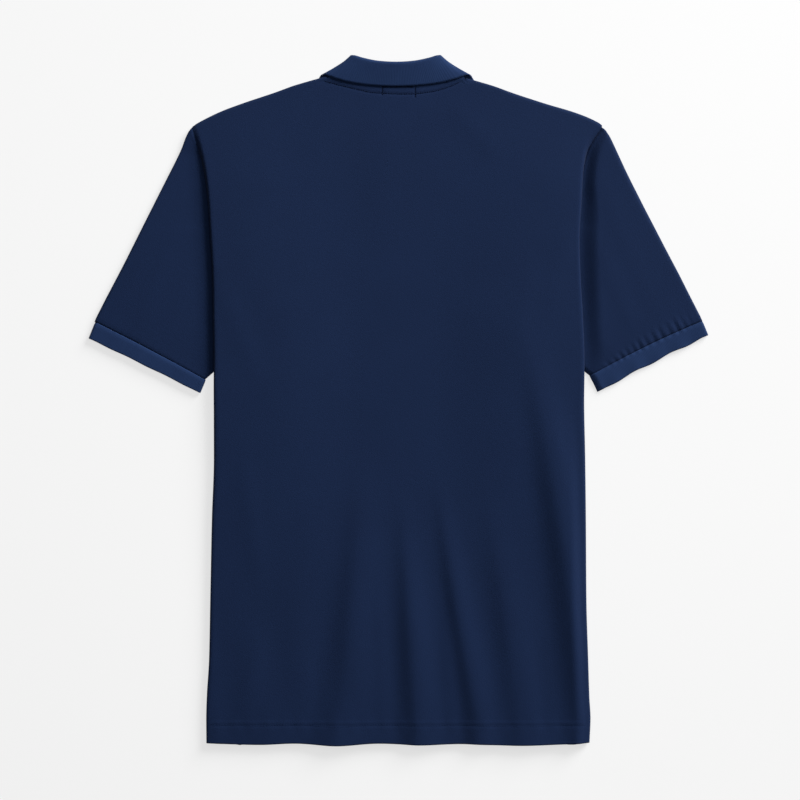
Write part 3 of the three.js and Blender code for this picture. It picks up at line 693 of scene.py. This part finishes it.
def neck_line(x):
    """The back's edge at the neck, which rises towards its sides."""
    u = abs(x - NECK_CENTRE) / NECK_X
    return lerp(NECK_BACK_Y, NECK_SIDE_Y, min(u, 1) ** 2.2)


def new_object(name, points, faces, material=None, soft=False):
    """An object from points in metres, shaded smooth if it is soft."""
    mesh = bpy.data.meshes.new(name)
    mesh.from_pydata(points, [], faces)
    for polygon in mesh.polygons:
        polygon.use_smooth = soft
    if material:
        mesh.materials.append(material)
    made = bpy.data.objects.new(name, mesh)
    bpy.context.collection.objects.link(made)
    return made


class Cloth:
    """Gathers quads of the middle of a cloth, then makes a wall of a given thickness."""

    def __init__(self, name):
        self.name = name
        self.points = []
        self.uvs = []
        self.faces = []

    def point(self, p, uv):
        self.points.append((p[0] * MM, p[1] * MM, p[2] * MM))
        self.uvs.append((uv[0] * MM, uv[1] * MM))
        return len(self.points) - 1

    def quads(self, grid, ring=False):
        """Quads between rows of point numbers. None marks a place with no cloth."""
        for row, following in zip(grid, grid[1:]):
            last = len(row) if ring else len(row) - 1
            for j in range(last):
                k = (j + 1) % len(row)
                corners = (row[j], row[k], following[k], following[j])
                if None not in corners:
                    self.faces.append(corners)

    def make(self, thickness, material, slot):
        piece = new_object(self.name, self.points, self.faces, material, soft=True)
        layer = piece.data.uv_layers.new(name="knit")
        for loop in piece.data.loops:
            layer.data[loop.index].uv = self.uvs[loop.vertex_index]
        wall = piece.modifiers.new("wall", "SOLIDIFY")
        wall.thickness = thickness * MM
        wall.offset = 0
        wall.use_even_offset = True
        wall.use_rim = True
        apply_modifiers(piece)
        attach(piece, "root")
        return piece


def apply_modifiers(piece):
    graph = bpy.context.evaluated_depsgraph_get()
    mesh = bpy.data.meshes.new_from_object(piece.evaluated_get(graph), depsgraph=graph)
    piece.modifiers.clear()
    piece.data = mesh


def lengths(points):
    """Running length along a list of points."""
    total = [0.0]
    for a, b in zip(points, points[1:]):
        total.append(total[-1] + math.dist(a, b))
    return total


def along_middle(strips, place):
    """Distance of each strip from the middle one, measured through one place of every strip."""
    run = lengths([strip[place] for strip in strips])
    return [value - run[len(strips) // 2] for value in run]


def lay_panel(name, strips):
    """A panel from its columns of points, with knit coordinates that run along the cloth."""
    cloth = Cloth(name)
    rows = []
    for strip, u in zip(strips, along_middle(strips, 20)):
        rows.append([cloth.point(p, (u, v)) for p, v in zip(strip, lengths(strip))])
    height = max(len(row) for row in rows)
    cloth.quads([row + [None] * (height - len(row)) for row in rows])
    return cloth


def shoulder_end(column, point, radius):
    """Points of the back's cloth from its last row over the shoulder and down its own strip."""
    x, y, z = point
    radius = min(radius, (z - TABLE) / 2)
    points = []
    roll_steps, strip_steps = 8, 4
    for k in range(roll_steps):
        reach, drop = bend(math.pi * radius, math.pi, (k + 1) / roll_steps, 0)
        points.append((x, y + reach, z - drop))
    edge = EDGE_X[side_of(column[0])]
    for k in range(strip_steps):
        end_y = y - SHOULDER_STRIP * (k + 1) / strip_steps
        outer = (edge(end_y) - edge(y)) * smooth((column[1] - 0.8) / 0.15)
        points.append((x + column[0] * outer, end_y, z - 2 * radius))
    return points


def back_cloth(material):
    strips = []
    for column in body_columns("back", BACK_STEP):
        top = edge_top(column)
        start, radius, x_top = shoulder_roll(column)
        open_neck = abs(x_top - NECK_CENTRE) < NECK_X
        top_y = neck_line(x_top) if open_neck else start
        rows = panel_rows(BACK_HEM_STEP, BACK_ROWS, BACK_NECK_ROWS, top)
        strip = [body_point("back", column, y, top, top_y) for y in rows]
        if not open_neck:
            strip += shoulder_end(column, strip[-1], radius)
        strips.append(strip)
    return lay_panel("back_cloth", strips).make(CLOTH, material, "pique")


def front_cloth(material):
    short = SHOULDER_STRIP + 0.3
    strips = []
    for column in body_columns("front", FRONT_STEP):
        top = edge_top(column) - short
        top_y = shoulder_roll(column)[0] - short
        rows = panel_rows(FRONT_HEM_STEP, FRONT_ROWS, FRONT_NECK_ROWS, top)
        strips.append([body_point("front", column, y, top, top_y) for y in rows])
    piece = lay_panel("front_cloth", strips).make(CLOTH, material, "pique")
    cut_front(piece)
    return piece


def prism(name, outline, low, high):
    """A closed prism over an outline, for cutting."""
    count = len(outline)
    points = [(x * MM, y * MM, low * MM) for x, y in outline]
    points += [(x * MM, y * MM, high * MM) for x, y in outline]
    faces = [tuple(reversed(range(count))), tuple(range(count, 2 * count))]
    for k in range(count):
        following = (k + 1) % count
        faces.append((k, following, count + following, count + k))
    return new_object(name, points, faces)


def cut_away(piece, cutters):
    for cutter in cutters:
        cut = piece.modifiers.new("cut", "BOOLEAN")
        cut.operation = "DIFFERENCE"
        cut.solver = "EXACT"
        cut.object = cutter
    apply_modifiers(piece)
    for cutter in cutters:
        mesh = cutter.data
        bpy.data.objects.remove(cutter)
        bpy.data.meshes.remove(mesh)


def cut_front(piece):
    """Cuts the neckline and the placket's slit out of the front."""
    line = []
    for k in range(49):
        angle = math.pi + k * math.pi / 48
        x = NECK_CENTRE + NECK_X * math.cos(angle)
        line.append((x, NECK_TURN_Y + (NECK_TURN_Y - NECK_FRONT_Y) * math.sin(angle)))
    neck = [(NECK_CENTRE - NECK_X, 380)] + line + [(NECK_CENTRE + NECK_X, 380)]
    left, right = NECK_CENTRE - PLACKET_WIDTH / 2, NECK_CENTRE + PLACKET_WIDTH / 2
    high = NECK_FRONT_Y + 30
    slit = [(left, PLACKET_LOW), (right, PLACKET_LOW), (right, high), (left, high)]
    cut_away(piece, [prism("neck_cutter", neck, -5, 30), prism("slit_cutter", slit, -5, 30)])


def sleeve_height(side, x, y, along, q):
    """Height of a sleeve's upper layer. It runs down under the body's edge, steeply or softly."""
    low = armhole_top(side, clamp(y, FOLDED_TO_Y + 1, TIP_Y))[1]
    s = SLEEVES[side]
    near, share, far = s["valley"]
    off = x - EDGE_X[side](clamp(y, HEM_Y, TIP_Y)) - 1.0
    near *= lerp(1, 0.72, smooth((y - 190) / 50))
    outside = share * smooth(off / near) + (1 - share) * smooth(off / far + 0.1)
    outside *= smooth(off / 4 + 1)
    loft = s["loft"] - s["droop"] * smooth((0.75 - q) / 0.75)
    loft = lerp(loft, CUFF_LOFT, smooth((along - 0.35) / 0.65))
    return lerp(low, max(loft, low * (1 - along)), outside), outside


def fold_points(a, b, away, steps):
    """Points round a fold that joins two layers, from a to b."""
    radius = abs(a[2] - b[2]) / 2
    points = []
    for k in range(1, steps):
        t = math.pi * k / steps
        mix = (1 - math.cos(t)) / 2
        out = radius * math.sin(t)
        points.append((
            lerp(a[0], b[0], mix) + away[0] * out,
            lerp(a[1], b[1], mix) + away[1] * out,
            lerp(a[2], b[2], mix),
        ))
    return points


def unit(x, y):
    length = math.hypot(x, y)
    return x / length, y / length


def direction(start, end):
    return unit(end[0] - start[0], end[1] - start[1])


def blend(a, b, t):
    return unit(lerp(a[0], b[0], t), lerp(a[1], b[1], t))


RING_PLACES = spaced(0, len(RING_STATIONS) - 1, 0.2)
ring_y = curve(tuple(enumerate(RING_STATIONS)), 1)


def ring_share(k):
    """Share of the way across the upper layer, from the outer side to the inner one."""
    return lerp(0.025, 0.982, k / (len(RING_STATIONS) - 1))


def cuff_pucker(side, q, along):
    """Small gathers where a sleeve's cloth is sewn to its rib, most of them on the right."""
    size = SLEEVES[side]["ripple"] * smooth(q / 0.2) * smooth((0.95 - q) / 0.15)
    beat = math.sin(q * 100 + 1.5 * math.sin(q * 9)) * (0.75 + 0.25 * math.sin(q * 37))
    return size * beat * smooth((along - 0.91) / 0.07)


def close_ring(side, upper, lower, inner, outer):
    """Joins a sleeve's two layers by a fold on each side, and turns them to their own side."""
    ring = upper + fold_points(upper[-1], lower[-1], inner, 8)
    ring += lower[::-1] + fold_points(lower[0], upper[0], outer, 10)
    return [(SLEEVES[side]["sign"] * x, y, z) for x, y, z in ring]


def flat_place(along, q):
    return along * SLEEVE_RUN, q * SLEEVE_WIDTH


def sleeve_ring(side, along):
    """Points round a sleeve at a share of the way from the armhole to the cuff."""
    s = SLEEVES[side]
    outer_seam, inner_seam = s["seam"]
    across = direction(outer_seam, inner_seam)
    outer_bow = curve(s["outer"], 1)
    creases = [(flat_place(*a), flat_place(*b), *size) for a, b, *size in SLEEVE_CREASES[side]]
    upper, lower = [], []
    for place in RING_PLACES:
        y = ring_y(place)
        q = ring_share(place)
        bow = s["bow"] * 4 * q * (1 - q) * along * along
        seam_x = lerp(outer_seam[0], inner_seam[0], q)
        seam_y = lerp(outer_seam[1], inner_seam[1], q)
        bulge = outer_bow(along) * (1 - smooth(q / 0.4)) * min(along / 0.02, 1)
        x = lerp(armhole_top(side, y)[0], seam_x, along) + bulge
        py = lerp(y, seam_y, along) + bow
        height, outside = sleeve_height(side, x, py, along, q)
        crease = crease_height(creases, *flat_place(along, q))
        seam_dip = 0.7 * math.exp(-(((1 - along) * 180 / 2.2) ** 2))
        upper.append((x, py, height + crease * outside + cuff_pucker(side, q, along) - seam_dip))
        low_x = lerp(armhole_low(side, y)[2], seam_x, along) + bulge
        slip = s["slip"] * smooth((q - 0.7) / 0.3) * smooth((along - 0.4) / 0.6)
        lower.append((low_x + across[0] * slip, py + across[1] * slip, TABLE))
    run = direction((TIP_X, TIP_Y), outer_seam)
    arm = direction((ARMPIT_X, ARMPIT_Y), inner_seam)
    at_cuff = smooth((along - 0.6) / 0.4)
    beside = blend((0, 1), (-run[1], run[0]), smooth(along / 0.08))
    outer = blend(beside, (-across[0], -across[1]), at_cuff)
    inner = blend((arm[1], -arm[0]), across, at_cuff)
    return close_ring(side, upper, lower, inner, outer)


def lay_rings(name, rings):
    """A sleeve or cuff from its rings, with knit coordinates that run round and along it."""
    cloth = Cloth(name)
    rows = []
    for ring, along in zip(rings, lengths([ring[len(RING_PLACES) // 2] for ring in rings])):
        rows.append([cloth.point(p, (u, along)) for p, u in zip(ring, lengths(ring))])
    cloth.quads(rows, ring=True)
    return cloth


def sleeve_cloth(side, material):
    steps = spaced(0, 0.3, 0.0125) + spaced(0.32, 0.9, 0.02) + spaced(0.912, 1, 0.011)
    rings = [sleeve_ring(side, along) for along in steps]
    return lay_rings(f"sleeve_cloth_{side}", rings).make(CLOTH, material, "pique")


def cuff_ring(side, along):
    """Points round a cuff at a share of the way from its seam to its free edge."""
    s = SLEEVES[side]
    (seam_outer, seam_inner), (edge_outer, edge_inner) = s["seam"], s["edge"]
    t = along + 0.006 * (1 - along)
    outer = [lerp(a, b, t) for a, b in zip(seam_outer, edge_outer)]
    inner = [lerp(a, b, t) for a, b in zip(seam_inner, edge_inner)]
    height = CUFF_LOFT - s["fall"] * along
    across = direction(outer, inner)
    dip = 0.7 * math.exp(-((along * 17.7 / 2.0) ** 2))
    upper, lower = [], []
    for place in RING_PLACES:
        q = ring_share(place)
        bow = s["bow"] * 4 * q * (1 - q) * (1 - 0.45 * along)
        bow += s["wave"] * math.sin(q * 19 + 1) * along * smooth(q / 0.1) * smooth((1 - q) / 0.1)
        x = lerp(outer[0], inner[0], q)
        y = lerp(outer[1], inner[1], q) + bow
        wave = s["ripple"] * (0.5 * math.sin(q * 31) + 0.3 * math.sin(q * 17 + 2))
        ripple = cuff_pucker(side, q, 1) * (1 - smooth(along * 4)) + wave * along
        slip = s["slip"] * smooth((q - 0.7) / 0.3)
        upper.append((x, y, height - dip + ripple))
        lower.append((x + across[0] * slip, y + across[1] * slip, CUFF_LOW))
    return close_ring(side, upper, lower, across, (-across[0], -across[1]))


def cuff_rib(side, material):
    rings = [cuff_ring(side, along) for along in spaced(0, 1, 0.07)]
    return lay_rings(f"cuff_rib_{side}", rings).make(RIB, material, "rib")


def catmull(points, i, t):
    """A place on a smooth curve through points, a share of the way from point i to the next."""
    last = len(points) - 1
    a, b, c, d = (Vector(points[clamp(k, 0, last)]) for k in (i - 1, i, i + 1, i + 2))
    cubic = (2 * a - 5 * b + 4 * c - d) * t * t + (3 * b - a - 3 * c + d) * t ** 3
    return (2 * b + (c - a) * t + cubic) / 2


def collar_sections():
    """Sections of the collar from one front end round the back to the other."""
    rows = [tuple((-p[0], p[1], p[2]) for p in row[:3]) + (row[3],) for row in COLLAR[:0:-1]]
    rows += list(COLLAR)
    columns = [[row[k] for row in rows] for k in range(4)]
    last = len(rows) - 1
    stations = []
    for place in spaced(0, last, 0.1):
        i = min(int(place), last - 1)
        t = place - i
        seam, fold, edge = (catmull(column, i, t) for column in columns[:3])
        stations.append((seam, fold, edge, lerp(columns[3][i], columns[3][i + 1], t)))
    sections = []
    for i, (seam, fold, edge, radius) in enumerate(stations):
        before = stations[max(i - 1, 0)][1]
        after = stations[min(i + 1, len(stations) - 1)][1]
        sweep = (after - before).normalized()
        out = (fold - (seam + edge) / 2).normalized()
        over = sweep.cross(out).normalized()
        centre = fold - out * radius
        arc = []
        for step in range(11):
            angle = (step / 5 - 1) * math.pi / 2
            arc.append(centre + over * math.sin(angle) * radius + out * math.cos(angle) * radius)
        rise = [seam.lerp(arc[0], k / 8) for k in range(8)]
        fall = [arc[-1].lerp(edge, (k + 1) / 12) for k in range(12)]
        sections.append([(p.x + NECK_CENTRE, p.y, p.z) for p in rise + arc + fall])
    return sections


def collar_rib(material):
    cloth = Cloth("collar_rib")
    sections = collar_sections()
    rows = []
    for section, u in zip(sections, along_middle(sections, 13)):
        rows.append([cloth.point(p, (u, v)) for p, v in zip(section, lengths(section))])
    cloth.quads(rows)
    return cloth.make(RIB, material, "rib")


def placket_strip(name, width, low, bottom, wall, material):
    """A flat strip of the placket, from its low end up to the neck."""
    cloth = Cloth(name)
    rows = []
    for y in spaced(low, NECK_FRONT_Y - 0.6, 3.0):
        row = [(x, y) for x in spaced(-width / 2, width / 2, 1.5)]
        rows.append([cloth.point((NECK_CENTRE + x, y, bottom + wall / 2), (x, y)) for x, y in row])
    cloth.quads(rows)
    return cloth.make(wall, material, "pique")


def circle(radius, count):
    angles = [2 * math.pi * k / count for k in range(count)]
    return [(radius * math.cos(angle), radius * math.sin(angle)) for angle in angles]


def tube_faces(base, rings, sides):
    """Faces of a closed tube of rings of points, numbered from base."""
    faces = []
    for i in range(rings - 1):
        for k in range(sides):
            a, j = base + i * sides, (k + 1) % sides
            faces.append((a + k, a + j, a + sides + j, a + sides + k))
    faces.append(tuple(base + k for k in reversed(range(sides))))
    faces.append(tuple(base + (rings - 1) * sides + k for k in range(sides)))
    return faces


def button(index, material):
    """A four-hole button with a raised rim, lying face down."""
    sides = 48
    points = [(x * MM, y * MM, z * MM) for r, z in BUTTON_PROFILE for x, y in circle(r, sides)]
    faces = [face[::-1] for face in tube_faces(0, len(BUTTON_PROFILE), sides)]
    piece = new_object(f"button_{index + 1}_turned", points, faces, material)
    holes = []
    for dx, dy in ((-1.4, -1.4), (1.4, -1.4), (1.4, 1.4), (-1.4, 1.4)):
        ring = [(dx + x, dy + y) for x, y in circle(BUTTON_HOLE, 16)]
        holes.append(prism(f"hole_{len(holes)}", ring, -1, 4))
    cut_away(piece, holes)
    centre_y = NECK_FRONT_Y - BUTTON_FIRST - index * BUTTON_SPACING
    piece.data.transform(Matrix.Translation((NECK_CENTRE * MM, centre_y * MM, 0)))
    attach(piece, "root")
    return piece


def stitch_mesh(name, segments, material, radius):
    """Raised stitches: a short rounded thread for each segment, given in metres."""
    points, faces = [], []
    rings = ((0.0, 0.25), (0.12, 0.8), (0.5, 1.0), (0.88, 0.8), (1.0, 0.25))
    sides = 6
    for start, end in segments:
        run = end - start
        side = run.cross(Vector((0, 0, 1))).normalized()
        up = side.cross(run).normalized()
        faces += tube_faces(len(points), len(rings), sides)
        for t, size in rings:
            for x, y in circle(radius * MM * size, sides):
                points.append(tuple(start + run * t + side * x + up * y))
    piece = new_object(name, points, faces, material, soft=True)
    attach(piece, "root")
    return piece


def surface_points(tree, line, from_above):
    """Drops or lifts a line of places onto a cloth's surface."""
    found = []
    start_z, aim = (0.1, -1) if from_above else (-0.1, 1)
    for x, y in line:
        hit, _, _, _ = tree.ray_cast(Vector((x * MM, y * MM, start_z)), Vector((0, 0, aim)))
        if hit is not None:
            found.append(hit)
    return found


def dashes(line, gap):
    """Cuts a line of places into stitches, as pairs of ends."""
    run = lengths(line)
    pairs = []
    at = 0.0
    while at + STITCH <= run[-1]:
        pairs.append((place_on(line, run, at), place_on(line, run, at + STITCH)))
        at += STITCH + gap
    return pairs


def place_on(line, run, distance):
    """The place at a distance along a line whose running lengths are given."""
    for k in range(len(run) - 1):
        if distance <= run[k + 1]:
            t = (distance - run[k]) / max(run[k + 1] - run[k], 1e-9)
            return tuple(lerp(a, b, t) for a, b in zip(line[k], line[k + 1]))
    return line[-1]


def sew(name, piece, lines, material, thread_size=FINE_THREAD, from_above=True):
    """Sews stitches onto a cloth along lines of places."""
    radius, gap = thread_size
    tree = BVHTree.FromObject(piece, bpy.context.evaluated_depsgraph_get())
    segments = []
    for line in lines:
        for pair in dashes(line, gap):
            ends = surface_points(tree, pair, from_above)
            if len(ends) == 2:
                segments.append(ends)
    return stitch_mesh(name, segments, material, radius)


def new_material(name):
    material = bpy.data.materials.new(name)
    material.use_nodes = True
    return material, material.node_tree, material.node_tree.nodes["Principled BSDF"]


def weighted(tree, *terms):
    """The sum of some outputs, each times its weight."""
    total = None
    for output, weight in terms:
        node = tree.nodes.new("ShaderNodeMath")
        node.operation = "MULTIPLY_ADD"
        tree.links.new(output, node.inputs[0])
        node.inputs[1].default_value = weight
        node.inputs[2].default_value = 0
        if total is not None:
            tree.links.new(total, node.inputs[2])
        total = node.outputs[0]
    return total


def colour_ramp(tree, factor, low, high, start=0.0, end=1.0):
    ramp = tree.nodes.new("ShaderNodeValToRGB")
    ramp.color_ramp.elements[0].position = start
    ramp.color_ramp.elements[1].position = end
    ramp.color_ramp.elements[0].color = (*low, 1)
    ramp.color_ramp.elements[1].color = (*high, 1)
    tree.links.new(factor, ramp.inputs["Fac"])
    return ramp.outputs["Color"]


def coordinates(tree, kind):
    return tree.nodes.new("ShaderNodeTexCoord").outputs[kind]


def noise(tree, vector, scale, detail=2.0):
    node = tree.nodes.new("ShaderNodeTexNoise")
    node.inputs["Scale"].default_value = scale
    node.inputs["Detail"].default_value = detail
    tree.links.new(vector, node.inputs["Vector"])
    return node.outputs["Fac"]


def bands(tree, vector, axis, scale, distortion, detail):
    node = tree.nodes.new("ShaderNodeTexWave")
    node.bands_direction = axis
    node.inputs["Scale"].default_value = scale
    node.inputs["Distortion"].default_value = distortion
    node.inputs["Detail"].default_value = detail
    tree.links.new(vector, node.inputs["Vector"])
    return node.outputs["Fac"]


def add_roughness(tree, shader, factor, low, high):
    ramp = colour_ramp(tree, factor, (low,) * 3, (high,) * 3)
    tree.links.new(ramp, shader.inputs["Roughness"])


def add_bump(tree, shader, height, strength, distance):
    bump = tree.nodes.new("ShaderNodeBump")
    bump.inputs["Strength"].default_value = strength
    bump.inputs["Distance"].default_value = distance
    tree.links.new(height, bump.inputs["Height"])
    tree.links.new(bump.outputs["Normal"], shader.inputs["Normal"])


def matt_cloth(shader, specular, sheen):
    shader.inputs["Specular IOR Level"].default_value = specular
    shader.inputs["Sheen Weight"].default_value = sheen
    shader.inputs["Sheen Roughness"].default_value = 0.5


def pique_material():
    """Cotton pique: a staggered honeycomb of small cells with fine fuzz over it."""
    material, tree, shader = new_material("navy_pique")
    uv = coordinates(tree, "UV")
    cells = tree.nodes.new("ShaderNodeTexVoronoi")
    cells.inputs["Scale"].default_value = 900
    cells.inputs["Randomness"].default_value = 0.5
    tree.links.new(uv, cells.inputs["Vector"])
    pits = cells.outputs["Distance"]
    broad = noise(tree, uv, 9, 3)
    grain = noise(tree, uv, 900, 2)
    # Colour darker in the cells' pits is painted shade; broad and grain vary the yarn's tone at
    # random.
    shade = weighted(tree, (broad, 0.2), (grain, 0.42), (pits, -0.27))
    colour = colour_ramp(tree, shade, (0.0059, 0.0155, 0.0510), (0.0098, 0.0250, 0.0796), 0.1, 0.62)
    tree.links.new(colour, shader.inputs["Base Color"])
    add_bump(tree, shader, weighted(tree, (grain, 0.5), (pits, -0.9)), 0.4, 0.0004)
    add_roughness(tree, shader, grain, 0.78, 0.95)
    matt_cloth(shader, 0.1, 0.03)
    return material


def rib_material():
    """Rib knit: raised wales across the piece, with small loops along each."""
    material, tree, shader = new_material("navy_rib")
    uv = coordinates(tree, "UV")
    wales = bands(tree, uv, "X", 200, 0.4, 1)
    loops = bands(tree, uv, "Y", 330, 0, 2)
    broad = noise(tree, uv, 22, 3)
    grain = noise(tree, uv, 1100, 2)
    relief = weighted(tree, (wales, 0.7), (loops, 0.3))
    # Colour lighter on the raised wales and loops is painted light, the grooves painted shade.
    shade = weighted(tree, (relief, 0.12), (broad, 0.6), (grain, 0.15))
    colour = colour_ramp(tree, shade, (0.0094, 0.0242, 0.0765), (0.0150, 0.0380, 0.114), 0.15, 0.85)
    tree.links.new(colour, shader.inputs["Base Color"])
    add_bump(tree, shader, weighted(tree, (relief, 1), (grain, 0.3)), 0.35, 0.0003)
    add_roughness(tree, shader, grain, 0.76, 0.94)
    matt_cloth(shader, 0.12, 0.04)
    return material


def thread_material(name, low, high):
    """Matt sewing thread with a twist along it, between two colours."""
    material, tree, shader = new_material(name)
    twist = noise(tree, coordinates(tree, "Object"), 2200, 1)
    tree.links.new(colour_ramp(tree, twist, low, high, 0.3, 0.7), shader.inputs["Base Color"])
    add_roughness(tree, shader, twist, 0.55, 0.75)
    shader.inputs["Specular IOR Level"].default_value = 0.05
    return material


def button_material():
    """Moulded navy plastic with faint clouding."""
    material, tree, shader = new_material("navy_button")
    cloud = noise(tree, coordinates(tree, "Object"), 180, 4)
    colour = colour_ramp(tree, cloud, (0.006, 0.012, 0.032), (0.017, 0.03, 0.07), 0.3, 0.7)
    tree.links.new(colour, shader.inputs["Base Color"])
    add_roughness(tree, shader, cloud, 0.28, 0.42)
    add_bump(tree, shader, cloud, 0.15, 0.0002)
    return material


def stage():
    """A plain pale floor, one soft key low on the upper right, a softer light overhead."""
    half = FLOOR_SIZE / 2
    corners = [(-half, -half, 0), (half, -half, 0), (half, half, 0), (-half, half, 0)]
    material, _, shader = new_material("pale_floor")
    shader.inputs["Base Color"].default_value = (*(FLOOR_ALBEDO,) * 3, 1)
    shader.inputs["Roughness"].default_value = 0.95
    shader.inputs["Specular IOR Level"].default_value = 0.0
    shader.inputs["Emission Color"].default_value = (1, 1, 1, 1)
    shader.inputs["Emission Strength"].default_value = FLOOR_GLOW
    floor = new_object("floor", corners, [(0, 1, 2, 3)], material)
    floor.location.z = -FLOOR_DROP
    world = bpy.data.worlds.new("pale_surround")
    world.use_nodes = True
    background = world.node_tree.nodes["Background"]
    background.inputs["Color"].default_value = (1, 1, 1, 1)
    background.inputs["Strength"].default_value = SURROUND
    bpy.context.scene.world = world
    for light in LIGHTS:
        aim_light(*light)


def aim_light(name, place, power, size):
    data = bpy.data.lights.new(name, "AREA")
    data.energy = power
    data.size = size
    lamp = bpy.data.objects.new(name, data)
    bpy.context.collection.objects.link(lamp)
    lamp.location = place
    lamp.rotation_euler = (-Vector(place)).to_track_quat("-Z", "Y").to_euler()


def camera():
    data = bpy.data.cameras.new("camera")
    data.lens = LENS
    data.sensor_width = SENSOR
    eye = bpy.data.objects.new("camera", data)
    bpy.context.collection.objects.link(eye)
    distance = LENS / SENSOR * FRAME_WIDTH + MEAN_HEIGHT
    eye.location = (CAMERA_X * MM, 0, distance * MM)
    eye.rotation_euler = (0, 0, 0)
    bpy.context.scene.camera = eye


pique = pique_material()
rib = rib_material()
thread = thread_material("navy_thread", (0.0052, 0.0125, 0.040), (0.0085, 0.0200, 0.064))
# Thread much darker than the cloth: painted shade of the grooves where the neck tape's stitches and
# the bar tacks sit.
painted_shade_thread = thread_material("painted_shade_thread", (0.0014, 0.0040, 0.0160), (0.0034, 0.0092, 0.0330))
plastic = button_material()

back = back_cloth(pique)
front = front_cloth(pique)
sleeves = {side: sleeve_cloth(side, pique) for side in ("left", "right")}
cuffs = {side: cuff_rib(side, rib) for side in ("left", "right")}
collar = collar_rib(rib)
strip_low = PLACKET_LOW + PLACKET_GAP
upper_strip = placket_strip(
    "placket_upper_strip", PLACKET_WIDTH - 2 * PLACKET_GAP, strip_low, COLLAR_LIFT, CLOTH, pique,
)
under_strip = placket_strip(
    "placket_under_strip", UNDER_STRIP_WIDTH, strip_low - 8, COLLAR_LIFT + CLOTH + PLACKET_GAP,
    UNDER_STRIP_WALL, pique,
)
buttons = [button(index, plastic) for index in range(BUTTON_COUNT)]


def hem_line(low, high):
    return [(x, HEM_Y + HEM_STITCH - hem_dip(x)) for x in spaced(low, high, 2)]


# Stitches that show from above
back_hem = hem_line(*BACK_HEM)
hem_stitch = sew("hem_stitch_back", back, [back_hem], thread)
# The neck tape's stitches and the bar tacks are sewn in the darker thread, which paints the shade
# of their grooves.
tape_line = [(x, tape_y(x)) for x in spaced(TAPE_STITCH[0][0], TAPE_STITCH[-1][0], 2)]
tape_stitch = sew("tape_stitch", back, [tape_line], painted_shade_thread, TAPE_THREAD)
# The two rows along the slit under the collar's edge are dark thread that paints the slit's shadow.
tack_and_slit_shadow_lines = [[(x + off, y) for x, y in tack] for tack in BAR_TACKS for off in (-0.4, 0, 0.4)]
tack_and_slit_shadow_lines += [[(x, y) for x in spaced(*SLIT_SHADOW_ENDS, 2)] for y in SLIT_SHADOW_ROWS]
bar_tacks_and_slit_shadow = sew("bar_tacks_and_slit_shadow", back, tack_and_slit_shadow_lines, painted_shade_thread, TACK_THREAD)

# Stitches that show only from below. The placket's run round it, with a box at its low end.
hem_stitch_front = sew("hem_stitch_front", front, [hem_line(*FRONT_HEM)], thread, from_above=False)
turned_hems = [[(x, y + 0.5) for x, y in back_hem if low < x < high] for low, high in TURNED_HEMS]
hem_stitch_turned = sew("hem_stitch_turned", back, turned_hems, thread, from_above=False)
right = PLACKET_WIDTH / 2 - 2
top = NECK_FRONT_Y - 3
low = strip_low + 2
box_top = low + PLACKET_WIDTH * 0.7
strip_lines = []
for start, end in (
    ((-right, top), (-right, low)),
    ((-right, low), (right, low)),
    ((right, low), (right, top)),
    ((-right, box_top), (right, box_top)),
):
    ends = [(NECK_CENTRE + x, y) for x, y in (start, end)]
    strip_lines.append([tuple(lerp(a, b, k / 20) for a, b in zip(*ends)) for k in range(21)])
placket_stitch = sew("placket_stitch", upper_strip, strip_lines, thread, from_above=False)

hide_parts("back")
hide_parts("front")
for side in ("left", "right"):
    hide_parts(f"sleeve_{side}")
    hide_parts(f"cuff_{side}")
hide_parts("collar")
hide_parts("placket_upper")
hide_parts("placket_under")
for index, piece in enumerate(buttons):
    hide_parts(f"button_{index + 1}")

stage()
camera()
bpy.context.scene.view_settings.view_transform = "Standard"
